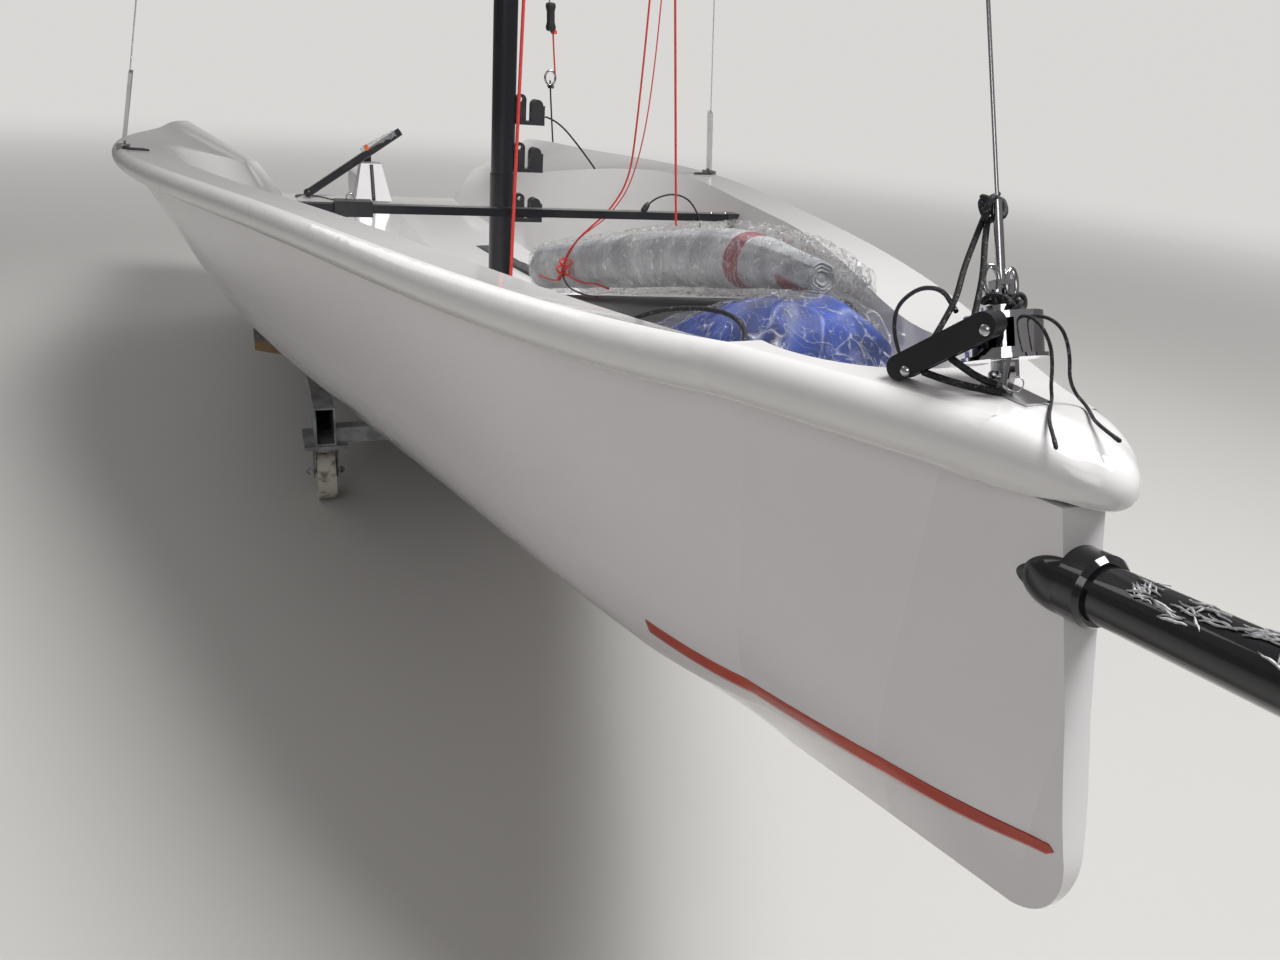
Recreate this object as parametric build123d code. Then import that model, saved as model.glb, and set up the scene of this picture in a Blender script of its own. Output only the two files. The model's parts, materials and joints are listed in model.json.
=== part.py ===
from build123d import *
import math
import os

os.makedirs("parts", exist_ok=True)

# Driving dimensions in millimetres, along from the transom, heights from the lowest point of the keel
KEEL_HEIGHT = 287
SHELL_WALL = 10
LINER_WALL = 8
ROLL_DEPTH = 50
ROLL_OVERHANG = 45
ROLL_ROUND = 20
RIM_SEAT = 24
RIM_GAP = 0.7
DECK_CAMBER = 3
STEM_TOP = (4253, 640)
STEM_FOOT = [(4341, 366), (4338, 311), (4296, 276)]
NOSE_PROFILE = [(4248, 666), (4302, 640), (4276, 606)]
NOSE_PLAN = [(4262, 36), (4306, 0), (4262, -36)]

# Rudder
PINTLE_X = -45
PINTLE_RADIUS = 5
PIVOT_RADIUS = 6
PIN_CLEARANCE = 0.4
BLADE_PIVOT_X = -120
BLADE_PIVOT_Z = 70
BLADE_LENGTH = 850
BLADE_THICKNESS = 20
CHEEK_GAP = 22
CHEEK_WALL = 6
TILLER_RADIUS = 17
TILLER_BALL_RADIUS = 20

# Centreboard and its case
BOARD_PIVOT_X = 2130
BOARD_PIVOT_Z = 95
BOARD_LENGTH = 960
BOARD_CHORD = 200
BOARD_THICKNESS = 22
CASE_GAP = 6
CASE_WALL = 8
CASE_TOP = 285

# Mast, boom and stays
MAST_X = 2578
MAST_LENGTH = 6150
MAST_LOWER_TOP = 608
MAST_LOWER_SIZE = (60, 54)
MAST_UPPER_SIZE = (56, 50)
MAST_WALL = 3
HOUNDS_HEIGHT = 4330
SPREADER_HEIGHT = 2350
SPREADER_LENGTH = 370
SPREADER_SWEEP = 12
CHAINPLATE_X = 1955
CHAINPLATE_Y = 800
STAY_RADIUS = 1.5
BOOM_LENGTH = 1700
BOOM_SIZE = (62, 44)
BOOM_FRONT = (3700, 165, 575)
BOOM_YAW = 1.8
BOOM_REST = 29.2
TRACK_X = 2750
TRACK_HALF = 515
TRACK_Z = 546
TRACK_SIZE = (24, 16)
CAR_Y = -335
CAR_SIZE = (36, 70, 29)
CLEAT_HEIGHTS = (712, 614, 507)
CLEAT_REACH = 62

# Soft things in the cockpit: strap ends x, y, and the sail roll's rows with columns distance aft of the boom's
# front end, offset to port of the boom's axis, offset up from it, radius
STRAP_THICKNESS = 3
STRAP_ENDS = [((667, -54), (1382, 115)), ((940, 274), (1690, 412))]
STRAP_WIDTH = 50
SAIL_ROLL = [(1615.6, 30.7, 106.8, 66), (977.6, 67.1, 107.6, 64), (452.8, 67.2, 96.9, 56), (12, 17, 51, 22)]
ROLL_LEAN = 0.24
BAG_CENTRE = (3700, 5, 490.3)
BAG_SIZE = (540, 220, 200)
BAG_TILT = 22
BAG_ROUND = 85

# Bow fittings
TACK_X = 4166
TOGGLE_PIN_AT = 8
TOGGLE_PIN_RADIUS = 2
DRUM_RADIUS = 28
DRUM_HEIGHT = 31
SWAGE_RADIUS = 3.5
SWAGE_LENGTH = 60
ARM_TAIL = (4120, -60, 665)
ARM_HEAD = (4173, -38, 712)
ARM_SIZE = (18, 20)
POLE_RADIUS = 21
POLE_INNER = (4130, 533)
POLE_LENGTH = 1029
POLE_TILT = 8.8
POLE_SPIGOT_RADIUS = 20.5
COLLAR_RADIUS = 27
COLLAR_BORE = 24
COLLAR_TAIL = 90
COLLAR_FRONT = 172
COLLAR_LIP = 22

# Cradle
BEAM_Y = 390
BEAM_SIZE = (50, 100)
BEAM_WALL = 4
BEAM_FRONT_X = 2370
BEAM_REAR_X = 330
CASTOR_X = (2310, 400)
CASTOR_WHEEL_RADIUS = 75
CASTOR_WHEEL_WIDTH = 46
CASTOR_TRAIL = 45
CASTOR_HEIGHT = 190
AXLE_RADIUS = 6
CHOCK_X = (2050, 620)
CHOCK_LENGTH = 90
CHOCK_SPAN = (250, 540)
PAD_THICKNESS = 18
SEAT_GAP = 0.3

# Equally spaced stations, columns x, half beam, sheer z, keel z, bilge y, bilge z, crease y, crease z,
# sole y, sole z
STATIONS = [
    (0, 767, 461, 92, 503, 154, 480, 303, 390, 171),
    (570, 816, 490, 55, 552, 132, 525, 367, 422, 162),
    (1140, 845, 519, 23, 581, 119, 611, 456, 459, 153),
    (1710, 853, 547, 3, 586, 119, 708, 532, 475, 144),
    (2280, 759, 572, 3, 531, 131, 643, 566, 425, 147),
    (2850, 591, 600, 24, 409, 160, 485, 593, 295, 172),
    (3420, 413, 624, 72, 258, 206, 312, 617, 190, 270),
    (3990, 165, 648, 180, 88, 290, 112, 641, 34, 500),
]
# Bow stations, columns x, half beam, sheer z, keel z, bilge y, bilge z
BOW_STATIONS = [
    (4160, 84, 655, 234, 42, 332),
    (4310, 22, 661, 281, 13, 366),
]
STEM_STATION = (4400, 12, 664, 309, 9, 390)


def save(shape, node, lift=KEEL_HEIGHT):
    """Writes a node, one solid or several, moved to the middle of the model and up from the keel line."""
    pieces = shape if isinstance(shape, list) else [shape]
    solids = [Pos(-MODEL_MID_X, 0, lift) * solid for piece in pieces for solid in piece.solids()]
    export_step(solids[0] if len(solids) == 1 else Compound(solids), f"parts/{node}.step")


def save_on_floor(shape, node):
    save(shape, node, 0)


def seated(shape, *moves):
    """Trims a fitting to the deck, which is moved up against it, or also another way."""
    for move in ((0, 0, SEAT_GAP), *moves):
        shape = shape - Pos(*move) * deck
    return shape


def outline_face(x, half):
    """Closes a half outline of points and edges across the centre plane and makes a face at x."""
    edges = []
    for kind, points in half:
        flat = [Vector(x, y, z) for y, z in points]
        port = [Vector(x, -y, z) for y, z in points]
        if kind == "line":
            edges += [Edge.make_line(*flat), Edge.make_line(*port)]
        else:
            edges += [Edge.make_three_point_arc(*flat), Edge.make_three_point_arc(*port)]
    return Face(Wire.combine(edges)[0])


def hull_half(keel_z, bilge_y, bilge_z, top_y, top_z, round_share=0.42):
    """Half section: flat floor, an arc at the bilge and a flat topside."""
    keel, bilge, top = Vector(0, keel_z), Vector(bilge_y, bilge_z), Vector(top_y, top_z)
    low_run, high_run = (keel - bilge), (top - bilge)
    run = min(low_run.length, high_run.length) * round_share
    start = bilge + low_run.normalized() * run
    end = bilge + high_run.normalized() * run
    half_turn = math.radians(low_run.get_angle(high_run)) / 2
    radius = run * math.tan(half_turn)
    inward = (low_run.normalized() + high_run.normalized()).normalized()
    centre = bilge + inward * (run / math.cos(half_turn))
    middle = centre + (bilge - centre).normalized() * radius
    return [
        ("line", [(0, keel_z), (start.X, start.Y)]),
        ("arc", [(start.X, start.Y), (middle.X, middle.Y), (end.X, end.Y)]),
        ("line", [(end.X, end.Y), (top_y, top_z)]),
        ("line", [(top_y, top_z), (0, top_z)]),
    ]


def hull_loft(rows, inset, top_rise, ruled):
    faces = []
    for x, half_beam, sheer_z, keel_z, bilge_y, bilge_z in rows:
        at = x + inset if x == 0 else x
        top_y = max(half_beam - ROLL_OVERHANG, STEM_HALF) - inset
        top_z = sheer_z - ROLL_DEPTH - RIM_GAP
        if top_rise:
            top_y += top_rise * (top_y - bilge_y) / (top_z - bilge_z)
            top_z += top_rise
        half = hull_half(keel_z + inset, bilge_y - inset, bilge_z + 0.8 * inset, top_y, top_z)
        faces.append(outline_face(at, half))
    return Solid.make_loft([face.outer_wire() for face in faces], ruled)


def rolled_edge(half_beam, sheer_z, under, inner):
    """Flat seat on the hull's rim, then the round outer edge, up to the side deck's outer line."""
    roll = min(ROLL_ROUND, 0.45 * half_beam)
    low_z = sheer_z - ROLL_DEPTH
    side = half_beam - roll
    return [
        ("line", [(inner, low_z), (under, low_z)]),
        ("line", [(under, low_z), (side, low_z)]),
        ("arc", [(side, low_z), (half_beam, sheer_z - ROLL_DEPTH / 2), (side, sheer_z)]),
    ]


def liner():
    """Rolled gunwale, side deck, inner wall and sole as one thin moulding."""
    faces = []
    for x, half_beam, sheer_z, keel_z, bilge_y, bilge_z, crease_y, crease_z, sole_y, sole_z in STATIONS:
        under = half_beam - ROLL_OVERHANG
        inner = under - RIM_SEAT
        rim_z = sheer_z - ROLL_DEPTH
        fold = (min(crease_y + LINER_WALL, inner - 2), min(crease_z - 2 * LINER_WALL, rim_z - 2))
        low = [(0, sole_z - LINER_WALL), (sole_y + LINER_WALL, sole_z - LINER_WALL), fold, (inner, rim_z)]
        high = [(half_beam - min(ROLL_ROUND, 0.45 * half_beam), sheer_z), (crease_y, crease_z),
                (sole_y, sole_z), (0, sole_z)]
        half = [("line", list(run)) for run in zip(low, low[1:])]
        half += rolled_edge(half_beam, sheer_z, under, inner)
        half += [("line", list(run)) for run in zip(high, high[1:])]
        faces.append(outline_face(x, half))
    return Solid.make_loft([face.outer_wire() for face in faces])


def well():
    """The space inside the liner, a hair smaller, to trim what lies in it."""
    faces = []
    for row in STATIONS:
        crease_y, crease_z, sole_y, sole_z = row[6:]
        high = [(0, sole_z + SEAT_GAP), (sole_y - 1, sole_z + SEAT_GAP), (crease_y - 1, crease_z + SEAT_GAP),
                (crease_y - 1, crease_z + 60), (0, crease_z + 60)]
        faces.append(outline_face(row[0], [("line", list(run)) for run in zip(high, high[1:])]))
    return Solid.make_loft([face.outer_wire() for face in faces])


def foredeck():
    """The closed deck from the well's front end to the round bow."""
    faces = []
    for x, half_beam, sheer_z in [row[:3] for row in STATIONS[-1:] + BOW_STATIONS]:
        under = max(half_beam - ROLL_OVERHANG, 0.35 * half_beam)
        half = [("line", [(0, sheer_z - ROLL_DEPTH), (0.8 * under, sheer_z - ROLL_DEPTH)])]
        half += rolled_edge(half_beam, sheer_z, under, 0.8 * under)
        roll = min(ROLL_ROUND, 0.45 * half_beam)
        half += [("line", [(half_beam - roll, sheer_z), (0, sheer_z + DECK_CAMBER)])]
        faces.append(outline_face(x, half))
    return Solid.make_loft([face.outer_wire() for face in faces], True)


def nose_round(plane, points, half):
    """A long block whose front end is an arc through three points, to round the bow."""
    start, middle, end = points
    back = [(end[0] - 40, -half), (STATIONS[-2][0], -half), (STATIONS[-2][0], half), (start[0] - 40, half)]
    outline = Polyline(end, *back, start) + ThreePointArc(start, middle, end)
    return extrude(plane * make_face(outline), half, both=True)


def turned(points):
    """Turns a profile of radii and heights about the well's upright front axis."""
    profile = Plane.XZ * make_face(Polyline(*points, close=True))
    return Pos(STATIONS[-1][0], 0, 0) * revolve(profile, Axis.Z, 360)


def section_at(stations, x):
    """The named heights and breadths of a station table at any x, between its two nearest rows."""
    for low, high in zip(stations, stations[1:]):
        if low[0] <= x <= high[0]:
            share = (x - low[0]) / (high[0] - low[0])
            return [a + share * (b - a) for a, b in zip(low, high)]
    return list(stations[-1])


def sheer_at(x):
    return section_at(HULL_ROWS, x)[2]


def sole_at(x):
    return section_at(STATIONS, x)[9]


def rod(start, end, radius):
    start, end = Vector(*start), Vector(*end)
    run = end - start
    return Plane(origin=start, z_dir=run.normalized()) * upright(radius, run.length)


def upright(radius, height):
    """A cylinder that stands on the origin."""
    return Cylinder(radius, height, align=(Align.CENTER, Align.CENTER, Align.MIN))


def block(x_range, y_range, z_range):
    size = [high - low for low, high in (x_range, y_range, z_range)]
    middle = [(low + high) / 2 for low, high in (x_range, y_range, z_range)]
    return Pos(*middle) * Box(*size)


def spar(length, size, wall):
    """Hollow oval tube along +Z from the origin."""
    outer = extrude(Ellipse(size[0] / 2, size[1] / 2), length)
    inner = extrude(Ellipse(size[0] / 2 - wall, size[1] / 2 - wall), length)
    return outer - inner


STEM_HALF = 11
DECK_LIFT = 640
HULL_ROWS = [row[:6] for row in STATIONS] + BOW_STATIONS + [STEM_STATION]
pole_tilt = math.radians(POLE_TILT)
pole_tip_x = POLE_INNER[0] + POLE_LENGTH * math.cos(pole_tilt) + POLE_RADIUS * math.sin(pole_tilt)
MODEL_MID_X = (pole_tip_x + BLADE_PIVOT_X - BLADE_LENGTH) / 2

# Hull moulding: round bilge, flat topsides and a stem that leans forward down to its round foot
main_rows = HULL_ROWS[:len(STATIONS)]
outer = hull_loft(main_rows, 0, 0, False)
bow = hull_loft(HULL_ROWS[len(STATIONS) - 1:], 0, 0, True)
inner = hull_loft(main_rows, SHELL_WALL, 80, False)
foot_start, foot_middle, foot_end = STEM_FOOT
profile = make_face(
    Polyline(foot_end, (foot_end[0] - 90, -50), (-10, -50), (-10, STEM_TOP[1]), STEM_TOP, foot_start)
    + ThreePointArc(foot_start, foot_middle, foot_end))
stem_side = extrude(Plane.XZ * profile, 1000, both=True)
case_length = (BOARD_PIVOT_X - BOARD_LENGTH - 40, BOARD_PIVOT_X + 130)
slot_half = BOARD_THICKNESS / 2 + CASE_GAP
slot = block(case_length, (-slot_half, slot_half), (-50, CASE_TOP - CASE_WALL))
case_outer = block(
    (case_length[0] - CASE_WALL - SEAT_GAP, case_length[1] + CASE_WALL + SEAT_GAP),
    (-slot_half - CASE_WALL - SEAT_GAP, slot_half + CASE_WALL + SEAT_GAP), (60, CASE_TOP))
pole_dir = Vector(math.cos(pole_tilt), 0, math.sin(pole_tilt))
pole_plane = Plane(origin=(POLE_INNER[0], 0, POLE_INNER[1]), x_dir=(0, 1, 0), z_dir=pole_dir)
collar_bore = pole_plane * Pos(0, 0, -2) * upright(COLLAR_BORE, COLLAR_FRONT + 100)
front_x, half_beam, sheer_z = STATIONS[-1][:3]
crease_y, crease_z, sole_y, sole_z = STATIONS[-1][6:]
rim_inner = half_beam - ROLL_OVERHANG - RIM_SEAT
rim_z = sheer_z - ROLL_DEPTH
well_top = crease_z + 80
well_end = turned([(0, sole_z), (sole_y, sole_z), (crease_y, crease_z), (crease_y, well_top), (0, well_top)])
well_end_wall, well_end_recess = [turned([
    (0, sole_z - wall), (sole_y + wall, sole_z - wall), (rim_inner + gap, rim_z),
    (rim_inner + gap, rim_z + 5), (0, rim_z + 5)])
    for wall, gap in ((LINER_WALL, 0), (LINER_WALL + SEAT_GAP, SEAT_GAP))]
well_end_wall &= block((front_x, front_x + rim_inner + 20), (-half_beam, half_beam), (0, sheer_z))
half_beam, sheer_z = STATIONS[0][1:3]
crease_y, crease_z, sole_y, sole_z = STATIONS[0][6:]
rim = half_beam - ROLL_OVERHANG - SHELL_WALL
stern_edge = sole_z - LINER_WALL - 1
transom_opening = [(-rim, sheer_z), (-rim, sheer_z - ROLL_DEPTH - 1), (-crease_y - 12, crease_z - 19),
                   (-sole_y - 11, stern_edge)]
transom_opening += [(-y, z) for y, z in reversed(transom_opening)]
stern_cut = extrude(Plane.YZ * make_face(Polyline(*transom_opening, close=True)), SHELL_WALL + 1)
hull = (outer - inner) + (bow & stem_side) - slot - collar_bore - stern_cut - well_end_recess
save(hull, "hull")

# Deck moulding: rolled gunwale, side decks that slope in towards the stern, inner walls and sole
nose = nose_round(Plane.XZ, [(x, z - DECK_LIFT) for x, z in NOSE_PROFILE], 250)
nose = Pos(0, 0, DECK_LIFT) * nose
fore = foredeck() & nose & nose_round(Plane.XY, NOSE_PLAN, 900)
deck = (liner() + fore + well_end_wall) - well_end - case_outer
save(deck, "deck")

# Board case standing on the hull around the slot, through the sole
case_shell = block(
    (case_length[0] - CASE_WALL, case_length[1] + CASE_WALL),
    (-slot_half - CASE_WALL, slot_half + CASE_WALL), (0, CASE_TOP))
case = case_shell - block(case_length, (-slot_half, slot_half), (-1, CASE_TOP - CASE_WALL))
case &= Pos(0, 0, SEAT_GAP) * inner
board_pivot = Pos(BOARD_PIVOT_X, 0, BOARD_PIVOT_Z) * Rot(90, 0, 0)
pivot_bore = board_pivot * Cylinder(PIVOT_RADIUS + PIN_CLEARANCE, 60)
save(case - pivot_bore, "board_case")

# Centreboard, folded up into its case, with its pivot pin
board_low_z = BOARD_PIVOT_Z - BOARD_CHORD / 2
board_tip_x = BOARD_PIVOT_X - BOARD_LENGTH
board_plan = make_face(Polyline(
    (BOARD_PIVOT_X + 90, board_low_z + 12), (BOARD_PIVOT_X + 90, BOARD_PIVOT_Z + 60),
    (BOARD_PIVOT_X + 40, board_low_z + BOARD_CHORD), (board_tip_x + 40, board_low_z + BOARD_CHORD - 20),
    (board_tip_x, board_low_z + 120), (board_tip_x + 60, board_low_z + 12), close=True))
board = extrude(Plane.XZ * board_plan, BOARD_THICKNESS / 2, both=True)
pin = board_pivot * Cylinder(PIVOT_RADIUS, 2 * (slot_half + CASE_WALL) + 4)
save(board + pin, "centreboard")

# Rudder pod moulded on the transom's edge
pod_base = sole_at(140)
pod = Solid.make_loft([
    Wire.make_polygon([(0, -80, pod_base), (140, -80, pod_base), (140, 80, pod_base), (0, 80, pod_base)]),
    Wire.make_polygon([(0, -45, 326), (85, -45, 326), (85, 45, 326), (0, 45, 326)])])
save(seated(pod), "rudder_pod")

# Gudgeons on the pod and the transom
gudgeons = []
for z, face_x in ((296, 0), (125, 0)):
    ring = Pos(PINTLE_X, 0, z) * (Cylinder(13, 16) - Cylinder(PINTLE_RADIUS + PIN_CLEARANCE, 16))
    arm = block((PINTLE_X + 10, face_x), (-9, 9), (z - 8, z + 8))
    plate = block((face_x - 4, face_x - SEAT_GAP), (-30, 30), (z - 20, z + 20))
    clear = Pos(PINTLE_X, 0, z) * Cylinder(PINTLE_RADIUS + PIN_CLEARANCE, 20)
    gudgeons.append((ring + arm + plate) - clear)
save(gudgeons, "gudgeons")

# Rudder stock: two cheeks, a head block and the pintle pin through both gudgeons
cheek_out = CHEEK_GAP / 2 + CHEEK_WALL
cheek_plan = make_face(Polyline(
    (PINTLE_X - 22, 345), (PINTLE_X - 130, 345), (PINTLE_X - 160, 200), (BLADE_PIVOT_X - 60, 20),
    (BLADE_PIVOT_X + 40, 20), (PINTLE_X - 22, 100), close=True))
cheeks = extrude(Plane.XZ * cheek_plan, cheek_out, both=True)
blade_room = make_face(Polyline(
    (PINTLE_X - 40, 250), (-400, 250), (-400, -50), (0, -50), (PINTLE_X - 10, 60),
    (PINTLE_X - 40, 130), close=True))
cheeks -= extrude(Plane.XZ * blade_room, CHEEK_GAP / 2, both=True)
pintle = Pos(PINTLE_X, 0, 212) * Cylinder(PINTLE_RADIUS, 250)
lugs = [block((PINTLE_X - 24, PINTLE_X + 6), (-10, 10), (z, z + 14)) for z in (235, 318, 155)]
stock = cheeks + pintle + lugs
blade_pivot = Pos(BLADE_PIVOT_X, 0, BLADE_PIVOT_Z) * Rot(90, 0, 0)
blade_bore = blade_pivot * Cylinder(PIVOT_RADIUS + PIN_CLEARANCE, 100)
save(stock - blade_bore, "rudder_stock")

# Rudder blade, kicked up behind the transom
blade_tip_x = BLADE_PIVOT_X - BLADE_LENGTH
blade_plan = make_face(Polyline(
    (BLADE_PIVOT_X + 40, BLADE_PIVOT_Z - 30), (BLADE_PIVOT_X + 30, BLADE_PIVOT_Z + 40),
    (BLADE_PIVOT_X - 20, BLADE_PIVOT_Z + 70), (BLADE_PIVOT_X - 120, BLADE_PIVOT_Z + 140),
    (blade_tip_x + 60, BLADE_PIVOT_Z + 110), (blade_tip_x, BLADE_PIVOT_Z + 60),
    (blade_tip_x + 10, BLADE_PIVOT_Z - 20), (BLADE_PIVOT_X - 60, BLADE_PIVOT_Z - 50), close=True))
blade = extrude(Plane.XZ * blade_plan, BLADE_THICKNESS / 2, both=True)
blade_pin = blade_pivot * Cylinder(PIVOT_RADIUS, 2 * cheek_out + 6)
save(blade + blade_pin, "rudder_blade")

# Tiller, stowed across the pod with its ball end on the sole
tiller_low = Vector(94, -280, sole_at(94) + TILLER_BALL_RADIUS + 2 * SEAT_GAP)
tiller_high = Vector(52, 136, 468)
tiller = rod(tiller_low, tiller_high, TILLER_RADIUS) + Pos(*tiller_low) * Sphere(TILLER_BALL_RADIUS)
save(tiller, "tiller")

# Mast: step, lower part with grooves, upper part, head, spreaders and cleats
step_z = sole_at(MAST_X)
step = Pos(MAST_X, 0, step_z + 6) * (Box(150, 90, 24) + Pos(0, 0, 17) * Cylinder(20, 20))
save(seated(step), "mast_step")
mast_foot = step_z + 18 + 2 * SEAT_GAP
lower = Pos(MAST_X, 0, mast_foot) * spar(MAST_LOWER_TOP - mast_foot, MAST_LOWER_SIZE, MAST_WALL)
save(lower, "mast_lower")
upper_length = MAST_LENGTH - MAST_LOWER_TOP + mast_foot
save(Pos(MAST_X, 0, MAST_LOWER_TOP + SEAT_GAP) * spar(upper_length, MAST_UPPER_SIZE, MAST_WALL), "mast_upper")
mast_top = MAST_LOWER_TOP + SEAT_GAP + upper_length
crane = Pos(MAST_X, 0, mast_top + SEAT_GAP + 10) * Box(90, 40, 20)
save(crane, "masthead")

spreader_sides = []
sweep = math.radians(SPREADER_SWEEP)
for side in (1, -1):
    root = (MAST_X, side * (MAST_UPPER_SIZE[1] / 2 + 2), SPREADER_HEIGHT)
    tip = (MAST_X - SPREADER_LENGTH * math.sin(sweep), side * SPREADER_LENGTH, SPREADER_HEIGHT + 15)
    arm = rod(root, tip, 9)
    spreader_sides.append(arm - Pos(MAST_X, 0, SPREADER_HEIGHT) * Cylinder(MAST_UPPER_SIZE[1] / 2 + 1, 60))
save(spreader_sides, "spreaders")

cleats = []
for low in CLEAT_HEIGHTS:
    foot = (MAST_LOWER_SIZE if low < MAST_LOWER_TOP else MAST_UPPER_SIZE)[1] / 2 + SEAT_GAP
    base = block((MAST_X - 14, MAST_X + 14), (foot, foot + CLEAT_REACH), (low, low + 8))
    lead = block((MAST_X - 8, MAST_X + 8), (foot, foot + 22), (low, low + 50))
    lead += Pos(MAST_X, foot + 11, low + 50) * Rot(0, 90, 0) * Cylinder(11, 16)
    lead -= Pos(MAST_X, foot + 11, low + 50) * Rot(0, 90, 0) * Cylinder(5, 20)
    jaws = block((MAST_X - 13, MAST_X + 13), (foot + 34, foot + CLEAT_REACH), (low, low + 40))
    jaws += Pos(MAST_X, foot + 46, low + 40) * Rot(0, 90, 0) * Cylinder(12, 26)
    jaws -= block((MAST_X - 3, MAST_X + 3), (foot + 30, foot + CLEAT_REACH + 5), (low + 26, low + 60))
    cleats.append(base + lead + jaws)
save(cleats, "mast_cleats")

# Stays: chainplates with adjusters, shrouds over the spreaders, forestay
chainplates = []
adjuster_height = 190
rim_z = sheer_at(CHAINPLATE_X) + 2
for side in (1, -1):
    foot = Vector(CHAINPLATE_X, side * CHAINPLATE_Y, rim_z)
    tip = Vector(MAST_X - SPREADER_LENGTH * math.sin(sweep), side * SPREADER_LENGTH, SPREADER_HEIGHT)
    lean = (tip - foot).normalized()
    plate_plane = Plane(origin=foot + lean * (adjuster_height / 2), z_dir=lean, x_dir=(1, 0, 0))
    plate = plate_plane * Box(22, 8, adjuster_height)
    base = Pos(CHAINPLATE_X, side * CHAINPLATE_Y, rim_z) * Box(36, 30, 12)
    chainplates.append(seated(plate + base))
save(chainplates, "chainplates")
for side, name in ((1, "port"), (-1, "starboard")):
    foot = Vector(CHAINPLATE_X, side * CHAINPLATE_Y, rim_z)
    tip = Vector(MAST_X - (SPREADER_LENGTH + 10) * math.sin(sweep), side * (SPREADER_LENGTH + 12),
                 SPREADER_HEIGHT + 15)
    lean = (tip - foot).normalized()
    start = foot + lean * (adjuster_height + SEAT_GAP)
    top = Vector(MAST_X - 8, side * (MAST_UPPER_SIZE[1] / 2 + 2), HOUNDS_HEIGHT)
    wire = rod(start, tip, STAY_RADIUS) + Pos(*tip) * Sphere(STAY_RADIUS * 1.6) + rod(tip, top, STAY_RADIUS)
    save(wire, f"shroud_{name}")

# Bow gear: deck eye, toggle with its pin, furling drum in its cage, rod, forestay and the lead arm
eye_z = sheer_at(TACK_X) + DECK_CAMBER
stay_foot = Vector(TACK_X, 0, eye_z + 3)
stay_end = Vector(MAST_X + MAST_UPPER_SIZE[0] / 2 + 2, 0, HOUNDS_HEIGHT)
stay_dir = (stay_end - stay_foot).normalized()
stay_plane = Plane(origin=stay_foot, z_dir=stay_dir, x_dir=(0, 1, 0))
pin_centre = stay_foot + stay_dir * TOGGLE_PIN_AT
eye = block((TACK_X - 14, TACK_X + 36), (-12, 12), (eye_z - 4, eye_z + 3))
eye += block((pin_centre.X - 7, pin_centre.X + 7), (-3, 3), (eye_z - 4, pin_centre.Z + 5.5))
eye -= Pos(*pin_centre) * Rot(90, 0, 0) * Cylinder(TOGGLE_PIN_RADIUS + SEAT_GAP, 20)
save(seated(eye), "deck_eye")
toggle = stay_plane * (
    Pos(6, 0, 12.5) * Box(4, 12, 13) + Pos(-6, 0, 12.5) * Box(4, 12, 13) + Pos(0, 0, 19) * Box(16, 12, 2)
    + Pos(0, 0, TOGGLE_PIN_AT) * Rot(0, 90, 0) * Cylinder(TOGGLE_PIN_RADIUS, 20))
save(toggle, "furler_toggle")
cage = upright(DRUM_RADIUS, DRUM_HEIGHT) - Pos(0, 0, 3) * upright(DRUM_RADIUS - 2.5, DRUM_HEIGHT - 6)
cage -= Rot(0, 0, 35) * Pos(-DRUM_RADIUS, 0, DRUM_HEIGHT / 2) * Box(30, 26, DRUM_HEIGHT - 10)
drum = upright(DRUM_RADIUS + 3, 3) + Pos(0, 0, 3) * (cage + upright(11, DRUM_HEIGHT)) \
    + Pos(0, 0, 3 + DRUM_HEIGHT) * upright(15, 6)
drum_top = 20 + SEAT_GAP + 9 + DRUM_HEIGHT
save(stay_plane * Pos(0, 0, 20 + SEAT_GAP) * drum, "furler_drum")
shackle = Pos(6, 0, 9) * Box(3, 10, 18) + Pos(-6, 0, 9) * Box(3, 10, 18) + Pos(0, 0, 17) * Box(15, 10, 4)
swage = Pos(0, 0, 18) * upright(SWAGE_RADIUS, SWAGE_LENGTH)
save(stay_plane * Pos(0, 0, drum_top + SEAT_GAP) * (shackle + swage), "furler_swivel")
stay_start = stay_foot + stay_dir * (drum_top + 18 + SWAGE_LENGTH + 2 * SEAT_GAP)
save(rod(stay_start, stay_end, STAY_RADIUS), "forestay")
tail, head = Vector(*ARM_TAIL), Vector(*ARM_HEAD)
arm_run = head - tail
arm_plane = Plane(origin=tail, z_dir=arm_run.normalized(), x_dir=Vector(0, 0, 1).cross(arm_run).normalized())
arm_width, arm_depth = ARM_SIZE
arm = Pos(0, 0, arm_run.length / 2) * Box(arm_width, arm_depth, arm_run.length)
for end in (0, arm_run.length):
    arm += Pos(0, 0, end) * Rot(0, 90, 0) * Cylinder(arm_depth / 2, arm_width)
arm -= Pos(0, -arm_depth / 2, arm_run.length / 2 - 15) * Box(arm_width - 6, arm_depth + 4, arm_run.length)
strap = Pos(6 - DRUM_RADIUS * 1.5, 0, 40) * Box(16, 12, 8)
strap = stay_plane * (strap - upright(DRUM_RADIUS + SEAT_GAP, 90))
sheave = Rot(0, 90, 0) * (Cylinder(arm_depth / 2 - 2, arm_width - 8) + Cylinder(3, arm_width))
save(arm_plane * (arm + sheave) + strap, "furler_arm")

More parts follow.
